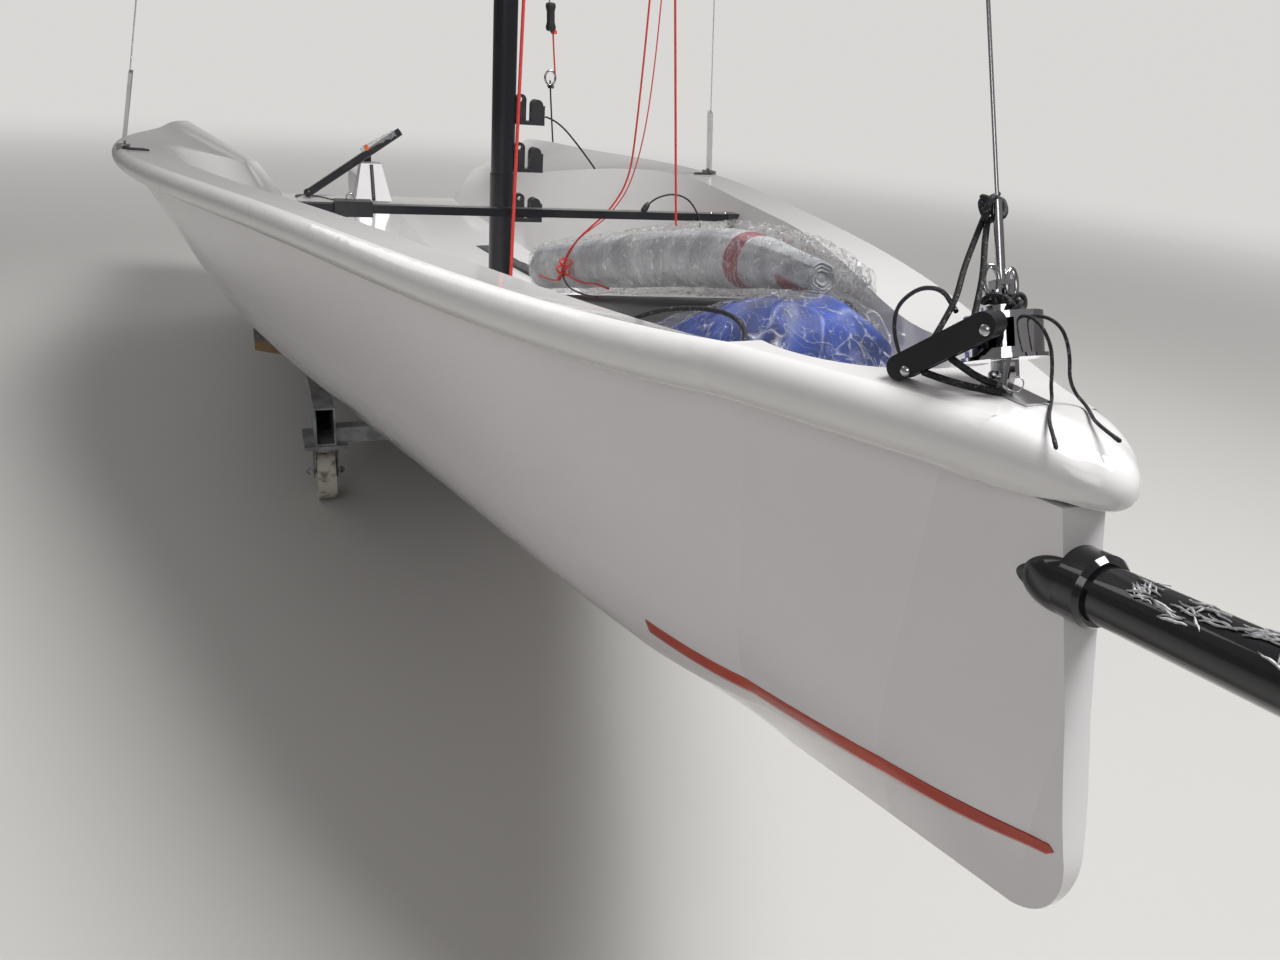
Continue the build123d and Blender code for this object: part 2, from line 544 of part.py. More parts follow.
# Bowsprit pole and the bullet-shaped collar that holds it in the stem
pole = upright(POLE_SPIGOT_RADIUS, COLLAR_FRONT + 2) + Pos(0, 0, COLLAR_FRONT + 2) * upright(
    POLE_RADIUS, POLE_LENGTH - COLLAR_FRONT - 2)
save(pole_plane * pole, "bowsprit")
bullet_end = COLLAR_FRONT - COLLAR_LIP
bullet = ThreePointArc((0, COLLAR_TAIL), (0.72 * COLLAR_RADIUS, 0.65 * COLLAR_TAIL + 0.35 * bullet_end),
                       (COLLAR_RADIUS, bullet_end))
bullet += Polyline((COLLAR_RADIUS, bullet_end), (COLLAR_RADIUS, COLLAR_FRONT - 4),
                   (COLLAR_RADIUS - 3, COLLAR_FRONT), (0, COLLAR_FRONT), (0, COLLAR_TAIL))
collar = revolve(Plane.XZ * make_face(bullet), Axis.Z, 360) + upright(COLLAR_BORE, COLLAR_FRONT - 10)
collar -= Pos(0, 0, -1) * upright(POLE_SPIGOT_RADIUS + SEAT_GAP, COLLAR_FRONT + 2)
save(pole_plane * collar - hull, "bowsprit_collar")

# Boom, stowed in the cockpit
cap_length = 12
boom_rise = BOOM_FRONT[2] - sole_at(BOOM_FRONT[0] - BOOM_LENGTH) - BOOM_REST
boom_pitch = math.degrees(math.asin(boom_rise / (BOOM_LENGTH + cap_length)))
boom_axis = Vector(-1, 0, 0).rotate(Axis.Y, -boom_pitch).rotate(Axis.Z, -BOOM_YAW)
boom_plane = Plane(origin=BOOM_FRONT, z_dir=boom_axis, x_dir=(0, 1, 0))
boom = boom_plane * spar(BOOM_LENGTH, (BOOM_SIZE[1], BOOM_SIZE[0]), MAST_WALL)
save(boom, "boom")
cap = extrude(Ellipse(BOOM_SIZE[1] / 2, BOOM_SIZE[0] / 2), cap_length)
caps = [boom_plane * Pos(0, 0, at) * cap for at in (-cap_length - SEAT_GAP, BOOM_LENGTH + SEAT_GAP)]
save(caps, "boom_ends")

# Jib track across the cockpit and its car
track = block((TRACK_X - TRACK_SIZE[0] / 2, TRACK_X + TRACK_SIZE[0] / 2), (-TRACK_HALF, TRACK_HALF),
              (TRACK_Z, TRACK_Z + TRACK_SIZE[1]))
track = scale(track - deck, (1, 1 - SEAT_GAP / TRACK_HALF, 1))
save(track, "jib_track")
car = Box(*CAR_SIZE) - Box(TRACK_SIZE[0] + 2 * SEAT_GAP, CAR_SIZE[1] + 2, TRACK_SIZE[1] + 2 * SEAT_GAP)
save(Pos(TRACK_X, CAR_Y, TRACK_Z + TRACK_SIZE[1] / 2) * car, "track_car")

# Hiking straps on the sole, sail roll over the boom and the side deck, sail bag in the well's front
inside = well()
sole_layer = inside - Pos(0, 0, STRAP_THICKNESS) * inside
straps = []
for start, end in STRAP_ENDS:
    run = Vector(*end) - Vector(*start)
    middle = (Vector(*end) + Vector(*start)) * 0.5
    turn = math.degrees(math.atan2(run.Y, run.X))
    band = Pos(middle.X, middle.Y, 200) * Rot(0, 0, turn) * Box(run.length, STRAP_WIDTH, 200)
    straps.append(band & sole_layer)
save(straps, "hiking_straps")

circles = []
for aft, to_port, up, radius in SAIL_ROLL:
    centre = Vector(*BOOM_FRONT) + boom_axis * aft + Vector(0, to_port, up)
    circles.append(Plane(origin=centre, z_dir=(1, 0, ROLL_LEAN)) * Circle(radius))
roll = Solid.make_loft([circle.wire() for circle in circles])
save(roll, "sail_roll")
bag = fillet(Box(*BAG_SIZE).edges(), BAG_ROUND)
save(Pos(*BAG_CENTRE) * Rot(0, -BAG_TILT, 0) * bag, "sail_bag")

# Cradle: two beams, two crossbars, posts with padded chocks
beams = []
beam_width, beam_depth = BEAM_SIZE
for side in (1, -1):
    walls = Box(BEAM_FRONT_X - BEAM_REAR_X, beam_width, beam_depth)
    walls -= Box(BEAM_FRONT_X - BEAM_REAR_X + 2, beam_width - 2 * BEAM_WALL, beam_depth - 2 * BEAM_WALL)
    middle = ((BEAM_FRONT_X + BEAM_REAR_X) / 2, side * BEAM_Y, CASTOR_HEIGHT + beam_depth / 2)
    beams.append(Pos(*middle) * walls)
cross_half = BEAM_Y - beam_width / 2
cross = [block((x - 20, x + 20), (-cross_half, cross_half), (CASTOR_HEIGHT, CASTOR_HEIGHT + 40))
         for x in (CASTOR_X[0] + 25, CASTOR_X[1])]
frame_solid = beams[0] + beams[1] + cross
chocks = []
pads = []
low_hull = Pos(0, 0, KEEL_HEIGHT - SEAT_GAP) * outer
for x in CHOCK_X:
    keel_z, bilge_y, bilge_z = section_at(HULL_ROWS, x)[3:6]
    rise = (bilge_z - keel_z) / bilge_y
    for side in (1, -1):
        ends = [(side * y, KEEL_HEIGHT + keel_z + rise * y) for y in CHOCK_SPAN]
        plane = Plane(origin=(x, 0, 0), x_dir=(0, 1, 0), z_dir=(1, 0, 0))
        bands = []
        for top, bottom in ((20, -PAD_THICKNESS), (-PAD_THICKNESS - SEAT_GAP, -PAD_THICKNESS - 30)):
            (near_y, near_z), (far_y, far_z) = ends
            band = Polyline((near_y, near_z + bottom), (far_y, far_z + bottom), (far_y, far_z + top),
                            (near_y, near_z + top), close=True)
            bands.append(extrude(plane * make_face(band), CHOCK_LENGTH / 2, both=True))
        pads.append(bands[0] - low_hull)
        post_top = KEEL_HEIGHT + keel_z + rise * BEAM_Y - PAD_THICKNESS - 20
        post = block((x - 20, x + 20), (side * BEAM_Y - 20, side * BEAM_Y + 20),
                     (CASTOR_HEIGHT + beam_depth - 2, post_top))
        chocks.append(bands[1])
        frame_solid += post
chocks = [chock - frame_solid for chock in chocks]
save_on_floor(frame_solid, "cradle_frame")
save_on_floor(chocks, "cradle_chocks")
save_on_floor(pads, "cradle_pads")

# Castors: top plates, forks that swivel and nylon wheels
plates = []
for x in CASTOR_X:
    for side, side_name in ((1, "port"), (-1, "starboard")):
        end_name = "front" if x == CASTOR_X[0] else "rear"
        plates.append(Pos(x, side * BEAM_Y, CASTOR_HEIGHT - 4 - SEAT_GAP) * Box(135, 105, 8))
        wheel_x = x - CASTOR_TRAIL
        fork_inner = CASTOR_WHEEL_WIDTH / 2 + 4
        crown_z = CASTOR_HEIGHT - 8 - 2 * SEAT_GAP
        crown = Pos(x, side * BEAM_Y, crown_z - 10) * Cylinder(38, 20)
        arms = []
        for arm_side in (1, -1):
            y = side * BEAM_Y + arm_side * (fork_inner + 2)
            arm_plan = make_face(Polyline(
                (x - 34, crown_z - 12), (x + 34, crown_z - 12), (wheel_x + 16, CASTOR_WHEEL_RADIUS - 14),
                (wheel_x - 16, CASTOR_WHEEL_RADIUS - 14), close=True))
            arms.append(Pos(0, y, 0) * extrude(Plane.XZ * arm_plan, 2, both=True))
        hub = Pos(wheel_x, side * BEAM_Y, CASTOR_WHEEL_RADIUS) * Rot(90, 0, 0)
        axle = hub * Cylinder(AXLE_RADIUS, 2 * fork_inner + 14)
        save_on_floor((crown + arms) + axle, f"castor_fork_{end_name}_{side_name}")
        wheel = Cylinder(CASTOR_WHEEL_RADIUS, CASTOR_WHEEL_WIDTH)
        wheel -= Cylinder(AXLE_RADIUS + PIN_CLEARANCE, CASTOR_WHEEL_WIDTH)
        save_on_floor(hub * wheel, f"castor_wheel_{end_name}_{side_name}")
save_on_floor(plates, "castor_plates")
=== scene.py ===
import bpy
import bmesh
import json
import math
from mathutils import Matrix, Vector, noise
from mathutils.bvhtree import BVHTree

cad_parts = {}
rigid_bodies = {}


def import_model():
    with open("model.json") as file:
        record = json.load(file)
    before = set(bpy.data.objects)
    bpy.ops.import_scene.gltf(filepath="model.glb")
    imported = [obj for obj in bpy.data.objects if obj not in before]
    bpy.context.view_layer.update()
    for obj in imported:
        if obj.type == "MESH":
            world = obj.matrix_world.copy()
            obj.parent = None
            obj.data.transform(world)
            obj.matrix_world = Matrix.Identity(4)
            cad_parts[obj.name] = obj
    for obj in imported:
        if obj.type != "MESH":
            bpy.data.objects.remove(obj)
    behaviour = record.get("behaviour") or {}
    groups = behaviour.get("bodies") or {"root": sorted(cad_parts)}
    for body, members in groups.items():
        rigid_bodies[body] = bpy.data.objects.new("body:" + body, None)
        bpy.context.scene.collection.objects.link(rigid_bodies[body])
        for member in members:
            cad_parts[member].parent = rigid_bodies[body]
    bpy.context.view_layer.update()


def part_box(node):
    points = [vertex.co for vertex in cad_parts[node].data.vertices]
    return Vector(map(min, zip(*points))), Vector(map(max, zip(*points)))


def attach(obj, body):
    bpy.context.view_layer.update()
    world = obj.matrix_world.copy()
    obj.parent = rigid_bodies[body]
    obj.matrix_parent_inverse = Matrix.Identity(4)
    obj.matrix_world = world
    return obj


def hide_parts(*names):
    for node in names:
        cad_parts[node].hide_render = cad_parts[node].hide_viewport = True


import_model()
PARTS = bpy.data.objects

# Studio: a pale floor that runs up into a plain backdrop, under four soft lamps and a white room.
# The camera stands where the photograph's stood, close to the bow on the starboard side,
# looking down and aft with a slight roll.
FROM_STERN = 2.090
CAMERA_PLACE = Vector((4.6835 - FROM_STERN, -0.5142, 1.150))
CAMERA_YAW, CAMERA_PITCH, CAMERA_ROLL = (math.radians(angle) for angle in (-66.681, 24.202, 5.147))
FOCAL_PIXELS, PHOTO_WIDTH, SENSOR_WIDTH = 934.9, 1280, 36.0

ahead = Vector((math.sin(CAMERA_YAW) * math.cos(CAMERA_PITCH), math.cos(CAMERA_YAW) * math.cos(CAMERA_PITCH),
                -math.sin(CAMERA_PITCH)))
level_right = Vector((math.cos(CAMERA_YAW), -math.sin(CAMERA_YAW), 0))
level_up = level_right.cross(ahead)
right = math.cos(CAMERA_ROLL) * level_right + math.sin(CAMERA_ROLL) * level_up
up = -math.sin(CAMERA_ROLL) * level_right + math.cos(CAMERA_ROLL) * level_up
camera_data = bpy.data.cameras.new("camera")
camera_data.sensor_width = SENSOR_WIDTH
camera_data.lens = FOCAL_PIXELS * SENSOR_WIDTH / PHOTO_WIDTH
camera_data.clip_end = 100
camera = bpy.data.objects.new("camera", camera_data)
turn = Matrix((right, up, -ahead)).transposed().to_4x4()
camera.matrix_world = Matrix.Translation(CAMERA_PLACE) @ turn
bpy.context.scene.collection.objects.link(camera)
bpy.context.scene.camera = camera
bpy.context.scene.view_settings.view_transform = "Standard"

world = bpy.data.worlds.new("studio")
bpy.context.scene.world = world
world.use_nodes = True
sky = world.node_tree.nodes
sky_links = world.node_tree.links
room_light = sky["Background"]
room_light.inputs["Color"].default_value = (1.0, 0.96, 0.97, 1)
room_light.inputs["Strength"].default_value = 0.22
seen_light = sky.new("ShaderNodeBackground")
seen_light.inputs["Color"].default_value = (0.80, 0.79, 0.77, 1)
seen_light.inputs["Strength"].default_value = 0.9
sight = sky.new("ShaderNodeLightPath")
straight = sky.new("ShaderNodeMath")
straight.operation = "MAXIMUM"
sky_links.new(sight.outputs["Is Camera Ray"], straight.inputs[0])
sky_links.new(sight.outputs["Is Transmission Ray"], straight.inputs[1])
room = sky.new("ShaderNodeMixShader")
sky_links.new(straight.outputs[0], room.inputs["Fac"])
sky_links.new(room_light.outputs[0], room.inputs[1])
sky_links.new(seen_light.outputs[0], room.inputs[2])
sky_links.new(room.outputs[0], sky["World Output"].inputs["Surface"])

# Lamps, columns name, place, width, power
LAMP_AIM = Vector((0, 0, 0.5))
LAMPS = [
    ("key_lamp", (2.4, 1.6, 5.2), 2.2, 330),
    ("fill_lamp", (-4.5, -3.0, 5.0), 3.5, 45),
    ("bow_lamp", (4.8, -2.4, 2.8), 2.0, 26),
    ("stern_lamp", (-5.5, 2.0, 4.0), 3.0, 60),
]
for name, place, width, power in LAMPS:
    lamp_data = bpy.data.lights.new(name, "AREA")
    lamp_data.size = width
    lamp_data.energy = power
    lamp = bpy.data.objects.new(name, lamp_data)
    lamp.location = place
    lamp.rotation_euler = (LAMP_AIM - Vector(place)).to_track_quat("-Z", "Y").to_euler()
    bpy.context.scene.collection.objects.link(lamp)

FLOOR_HALF, SWEEP_RADIUS, SWEEP_STEPS = 9.0, 5.0, 12
FLOOR_PALE, FLOOR_GLOW = (0.72, 0.711, 0.693, 1), 0.95
GLOW_FROM, GLOW_FULL = 3.5, 10.0
sweep = [(FLOOR_HALF + SWEEP_RADIUS * math.sin(math.pi / 2 * step / SWEEP_STEPS),
          SWEEP_RADIUS * (1 - math.cos(math.pi / 2 * step / SWEEP_STEPS)))
         for step in range(SWEEP_STEPS + 1)]
ROOM_SIDES = 48
floor_points = [(reach * math.cos(2 * math.pi * side / ROOM_SIDES),
                 reach * math.sin(2 * math.pi * side / ROOM_SIDES), height)
                for reach, height in sweep for side in range(ROOM_SIDES)]
floor_faces = [tuple(range(ROOM_SIDES))]
for ring in range(SWEEP_STEPS):
    for side in range(ROOM_SIDES):
        after = (side + 1) % ROOM_SIDES
        low_ring, high_ring = ring * ROOM_SIDES, (ring + 1) * ROOM_SIDES
        floor_faces.append((low_ring + after, low_ring + side, high_ring + side, high_ring + after))
floor_mesh = bpy.data.meshes.new("floor")
floor_mesh.from_pydata(floor_points, [], floor_faces)
floor = bpy.data.objects.new("floor", floor_mesh)
bpy.context.scene.collection.objects.link(floor)
for polygon in floor_mesh.polygons[1:]:
    polygon.use_smooth = True
floor_finish = bpy.data.materials.new("floor_paint")
floor_finish.use_nodes = True
floor_shader = floor_finish.node_tree.nodes["Principled BSDF"]
floor_shader.inputs["Base Color"].default_value = (0.55, 0.54, 0.52, 1)
floor_shader.inputs["Roughness"].default_value = 0.55
floor_nodes, floor_links = floor_finish.node_tree.nodes, floor_finish.node_tree.links
floor_place = floor_nodes.new("ShaderNodeTexCoord")
floor_reach = floor_nodes.new("ShaderNodeVectorMath")
floor_reach.operation = "LENGTH"
floor_links.new(floor_place.outputs["Object"], floor_reach.inputs[0])
floor_far = floor_nodes.new("ShaderNodeMapRange")
floor_far.inputs["From Min"].default_value = GLOW_FROM
floor_far.inputs["From Max"].default_value = GLOW_FULL
floor_far.inputs["To Max"].default_value = FLOOR_GLOW
floor_links.new(floor_reach.outputs["Value"], floor_far.inputs["Value"])
floor_sight = floor_nodes.new("ShaderNodeLightPath")
floor_seen = floor_nodes.new("ShaderNodeMath")
floor_seen.operation = "MULTIPLY"
floor_links.new(floor_far.outputs["Result"], floor_seen.inputs[0])
floor_links.new(floor_sight.outputs["Is Camera Ray"], floor_seen.inputs[1])
backdrop_glow = floor_nodes.new("ShaderNodeEmission")
backdrop_glow.inputs["Color"].default_value = FLOOR_PALE
backdrop_mix = floor_nodes.new("ShaderNodeMixShader")
floor_links.new(floor_seen.outputs[0], backdrop_mix.inputs["Fac"])
floor_links.new(floor_shader.outputs[0], backdrop_mix.inputs[1])
floor_links.new(backdrop_glow.outputs[0], backdrop_mix.inputs[2])
floor_links.new(backdrop_mix.outputs[0], floor_nodes["Material Output"].inputs["Surface"])
floor_mesh.materials.append(floor_finish)


# Ropes left loose on board: the furling line's spare ends over the foredeck and its bight into the
# well, red halyard tails and a black lashing at the sail roll, a lashing over the bag and the tiller's
# line. All are braided polyester, black with light flecks or red, cut and whipped at their far ends.
def socket(group, name, way, kind):
    return group.interface.new_socket(name=name, in_out=way, socket_type=kind)


def mottle_group():
    """Soft uneven colour, gloss and height over a surface, from two sizes of noise."""
    group = bpy.data.node_groups.new("mottle", "ShaderNodeTree")
    for name in ("Light", "Dark"):
        socket(group, name, "INPUT", "NodeSocketColor")
    for name in ("Patch Scale", "Grain Scale", "Smooth", "Rough", "Low", "High"):
        socket(group, name, "INPUT", "NodeSocketFloat")
    socket(group, "Color", "OUTPUT", "NodeSocketColor")
    socket(group, "Roughness", "OUTPUT", "NodeSocketFloat")
    socket(group, "Height", "OUTPUT", "NodeSocketFloat")
    nodes, links = group.nodes, group.links
    given, made = nodes.new("NodeGroupInput"), nodes.new("NodeGroupOutput")
    place = nodes.new("ShaderNodeTexCoord")
    patch, grain = nodes.new("ShaderNodeTexNoise"), nodes.new("ShaderNodeTexNoise")
    for texture, scale in ((patch, "Patch Scale"), (grain, "Grain Scale")):
        texture.inputs["Detail"].default_value = 3.0
        links.new(place.outputs["Object"], texture.inputs["Vector"])
        links.new(given.outputs[scale], texture.inputs["Scale"])
    mask = nodes.new("ShaderNodeMapRange")
    links.new(given.outputs["Low"], mask.inputs["From Min"])
    links.new(given.outputs["High"], mask.inputs["From Max"])
    links.new(patch.outputs["Fac"], mask.inputs["Value"])
    tint = nodes.new("ShaderNodeMix")
    tint.data_type = "RGBA"
    links.new(mask.outputs["Result"], tint.inputs["Factor"])
    links.new(given.outputs["Light"], tint.inputs[6])
    links.new(given.outputs["Dark"], tint.inputs[7])
    gloss = nodes.new("ShaderNodeMapRange")
    links.new(grain.outputs["Fac"], gloss.inputs["Value"])
    links.new(given.outputs["Smooth"], gloss.inputs["To Min"])
    links.new(given.outputs["Rough"], gloss.inputs["To Max"])
    links.new(tint.outputs[2], made.inputs["Color"])
    links.new(gloss.outputs["Result"], made.inputs["Roughness"])
    links.new(grain.outputs["Fac"], made.inputs["Height"])
    return group


MOTTLE = mottle_group()


def mottled(name, light, dark, patch, grain, smooth, rough, relief, metallic=0.0, coat=0.0,
            low=0.35, high=0.68):
    """A finish: two close shades, patches and grain per metre, gloss, relief and patch contrast."""
    finish = bpy.data.materials.new(name)
    finish.use_nodes = True
    nodes, links = finish.node_tree.nodes, finish.node_tree.links
    shader = nodes["Principled BSDF"]
    shader.inputs["Metallic"].default_value = metallic
    shader.inputs["Coat Weight"].default_value = coat
    uneven = nodes.new("ShaderNodeGroup")
    uneven.node_tree = MOTTLE
    uneven.name = "uneven"
    uneven.inputs["Light"].default_value = (*light, 1)
    uneven.inputs["Dark"].default_value = (*dark, 1)
    for key, value in (("Patch Scale", patch), ("Grain Scale", grain), ("Smooth", smooth), ("Rough", rough),
                       ("Low", low), ("High", high)):
        uneven.inputs[key].default_value = value
    bump = nodes.new("ShaderNodeBump")
    bump.inputs["Distance"].default_value = relief
    bump.inputs["Strength"].default_value = 0.5
    links.new(uneven.outputs["Color"], shader.inputs["Base Color"])
    links.new(uneven.outputs["Roughness"], shader.inputs["Roughness"])
    links.new(uneven.outputs["Height"], bump.inputs["Height"])
    links.new(bump.outputs["Normal"], shader.inputs["Normal"])
    return finish


black_braid = mottled("braid_black", (0.012, 0.012, 0.014), (0.16, 0.16, 0.17), 420, 900, 0.55, 0.85, 0.0008,
                      low=0.60, high=0.66)
red_braid = mottled("braid_red", (0.62, 0.045, 0.035), (0.30, 0.02, 0.02), 380, 900, 0.5, 0.8, 0.0006,
                    low=0.50, high=0.70)


def rod(name, points, thickness, finish, fineness, closed=False):
    """Round rope or rod along points, as one smooth spline, open with flat ends or closed."""
    line = bpy.data.curves.new(name, "CURVE")
    line.dimensions = "3D"
    line.bevel_depth = thickness / 2
    line.bevel_resolution = 3
    line.resolution_u = fineness
    line.use_fill_caps = not closed
    line.materials.append(finish)
    spline = line.splines.new("NURBS")
    spline.points.add(len(points) - 1)
    for bend, place in zip(spline.points, points):
        bend.co = (*place, 1)
    spline.order_u = 3
    spline.use_endpoint_u = not closed
    spline.use_cyclic_u = closed
    run = bpy.data.objects.new(name, line)
    bpy.context.scene.collection.objects.link(run)
    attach(run, "boat")
    return run


def rope_run(name, points, thickness, finish):
    """A rope along given points."""
    return rod(name, points, thickness, finish, 8)


def surface_of(node):
    """A CAD node's faces, ready for finding the point where a straight line meets them."""
    data = PARTS[node].data
    return BVHTree.FromPolygons([vertex.co.copy() for vertex in data.vertices],
                                [tuple(polygon.vertices) for polygon in data.polygons])


DECK_TREE = surface_of("deck")


def on_deck(x, y, lift):
    """A point that lies on the deck or sole under x, y, with its height above it."""
    hit = DECK_TREE.ray_cast(Vector((x, y, 1.2)), Vector((0, 0, -1)))[0]
    return (x, y, hit.z + lift)


THIN_BRAID = 0.0026
# Loose ropes, columns name, length, thickness, finish, far end, lay, route
LOOSE_ROPES = [
    ("furling_tail_long", 0.175, THIN_BRAID, black_braid, "bare", "hanging", [
        (2.079, -0.006, 1.0035), (2.088, -0.010, 1.006), (2.097, -0.012, 1.007), (2.107, -0.011, 1.003),
        (2.112, -0.004, 0.990), (2.111, 0.003, 0.975), (2.104, 0.014, 0.958), on_deck(2.104, 0.018, 0.004),
        on_deck(2.116, 0.006, 0.002), on_deck(2.135, -0.014, 0.002), on_deck(2.150, -0.027, 0.002),
        on_deck(2.160, -0.034, 0.002), on_deck(2.168, -0.037, 0.002)]),
    ("furling_tail_short", 0.176, THIN_BRAID, black_braid, "bare", "hanging", [
        (2.079, -0.001, 1.0035), (2.088, 0.002, 1.006), (2.098, 0.005, 1.006), (2.106, 0.011, 0.999),
        (2.110, 0.018, 0.982), (2.108, 0.025, 0.965), (2.109, 0.034, 0.953), on_deck(2.116, 0.038, 0.003),
        on_deck(2.130, 0.029, 0.002), on_deck(2.151, 0.011, 0.002), on_deck(2.172, -0.001, 0.002),
        on_deck(2.187, -0.006, 0.002)]),
    ("furling_bight", 0.372, 0.0038, black_braid, "bare", "loose", [
        (2.046, -0.036, 0.9985), (2.036, -0.034, 1.0025), (2.020, -0.028, 1.006), (1.995, -0.018, 1.004),
        (1.960, -0.005, 0.995), (1.920, 0.012, 0.975), (1.890, 0.030, 0.955), (1.874, 0.046, 0.930),
        (1.870, 0.062, 0.905), (1.880, 0.078, 0.880), on_deck(1.892, 0.084, 0.004),
        on_deck(1.905, 0.066, 0.003), on_deck(1.912, 0.040, 0.003)]),
    ("red_tail_forward", 0.228, 0.0045, red_braid, "bare", "loose", [
        (0.388, 0.182, 0.657), (0.430, 0.190, 0.650), (0.483, 0.203, 0.652), (0.530, 0.206, 0.661),
        (0.568, 0.208, 0.669), (0.608, 0.220, 0.668)]),
    ("red_tail_aft", 0.205, 0.0045, red_braid, "bare", "loose", [
        (0.378, 0.180, 0.653), (0.345, 0.184, 0.632), (0.316, 0.189, 0.618), (0.250, 0.182, 0.607),
        (0.189, 0.180, 0.603)]),
    ("black_tail", 0.290, 0.0042, black_braid, "bare", "loose", [
        (0.385, 0.181, 0.650), (0.412, 0.178, 0.640), (0.460, 0.176, 0.634), (0.530, 0.176, 0.640),
        (0.600, 0.174, 0.650), (0.668, 0.173, 0.664)]),
    ("bag_lashing", 0.242, 0.0048, black_braid, "bare", "loose", [
        (1.700, -0.172, 0.893), (1.716, -0.158, 0.907), (1.738, -0.136, 0.921), (1.768, -0.112, 0.930),
        (1.802, -0.098, 0.934), (1.838, -0.098, 0.932), (1.866, -0.108, 0.924), (1.884, -0.122, 0.912),
        (1.890, -0.132, 0.902)]),
    ("tiller_line", 0.374, 0.005, black_braid, "bare", "loose", [
        (-1.985, -0.309, 0.470), on_deck(-1.996, -0.325, 0.004), on_deck(-2.030, -0.338, 0.0035),
        on_deck(-2.058, -0.318, 0.0035), on_deck(-2.060, -0.280, 0.0035), on_deck(-2.038, -0.238, 0.0035),
        on_deck(-1.995, -0.200, 0.0035), on_deck(-1.940, -0.160, 0.0035), on_deck(-1.890, -0.100, 0.0035)]),
]
for name, length, thickness, finish, far_end, lay, route in LOOSE_ROPES:
    rope = rope_run(name, route, thickness, finish)


def skin(mesh, rings, capped=True):
    """Joins closed rings of points, each to the next, and closes both ends when capped."""
    sides = len(rings[0])
    for before, after in zip(rings, rings[1:]):
        for side in range(sides):
            following = (side + 1) % sides
            mesh.faces.new((before[side], before[following], after[following], after[side]))
    if capped:
        mesh.faces.new(list(reversed(rings[0])))
        mesh.faces.new(rings[-1])


def lathe(name, profile, place, axis, finish, body="boat", steps=24):
    """Turns a profile of radii and heights about an axis through a place."""
    mesh = bmesh.new()
    frame_turn = Vector(axis).normalized().to_track_quat("Z", "Y").to_matrix().to_4x4()
    put = Matrix.Translation(Vector(place)) @ frame_turn
    rings = []
    for radius, height in profile:
        rings.append([mesh.verts.new(put @ Vector((radius * math.cos(2 * math.pi * step / steps),
                                                   radius * math.sin(2 * math.pi * step / steps), height)))
                      for step in range(steps)])
    skin(mesh, rings)
    return put_piece(name, mesh, finish, body)


def put_piece(name, mesh, finish, body="boat", sharp=35):
    """Ends a piece: mesh, finish, smooth shading with sharp corners, and the body that it rides on."""
    bmesh.ops.recalc_face_normals(mesh, faces=mesh.faces)
    for edge in mesh.edges:
        if len(edge.link_faces) == 2:
            edge.smooth = edge.calc_face_angle() < math.radians(sharp)
    for face in mesh.faces:
        face.smooth = True
    data = bpy.data.meshes.new(name)
    mesh.to_mesh(data)
    mesh.free()
    data.materials.append(finish)
    piece = bpy.data.objects.new(name, data)
    bpy.context.scene.collection.objects.link(piece)
    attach(piece, body)
    return piece


def whipping(name, place, axis, radius, finish):
    """A rope's end: a few turns of twine over the cut braid."""
    turns = [(radius * 0.5, -0.006), (radius * 1.12, -0.005), (radius * 1.2, -0.002),
             (radius * 1.12, 0.0), (radius * 1.25, 0.002), (radius * 0.7, 0.0035)]
    return lathe(name, turns, place, axis, finish, steps=12)


for name, length, thickness, finish, far_end, lay, route in LOOSE_ROPES:
    last, before = Vector(route[-1]), Vector(route[-2])
    whipping(name + "_end", last, last - before, thickness / 2, finish)


# Hull moulding: glass fibre in glossy white gelcoat, laid up in one mould.
# The short red stripe on each topside near the stem is gelcoat tape, a finger's width high,
# with round ends where it meets the stem.
def dress(node, finish):
    """Gives a CAD node its finish, on every slot that it has."""
    mesh = PARTS[node].data
    mesh.materials.clear()
    mesh.materials.append(finish)


gelcoat = mottled("gelcoat_white", (0.80, 0.78, 0.79), (0.76, 0.745, 0.755), 2.5, 320, 0.07, 0.13, 0.00005,
                  coat=0.5)
dress("hull", gelcoat)
dress("rudder_pod", gelcoat)

HULL_TREE = surface_of("hull")
STRIPE_PROUD = 0.0006
STRIPE_STEPS, STRIPE_ROWS = 90, 6
STRIPE_FIRST, STRIPE_LAST = 1.764, 2.243
STRIPE_TOP, STRIPE_BOTTOM = (0.5668, -0.0338, 0.4513), (0.5476, -0.0684, 0.5650)


def between(rows, x):
    """The row of a table at x, straight between its neighbours."""
    for low_row, high_row in zip(rows, rows[1:]):
        if low_row[0] <= x <= high_row[0]:
            share = (x - low_row[0]) / (high_row[0] - low_row[0])
            return [a + share * (b - a) for a, b in zip(low_row, high_row)]
    return list(rows[-1])


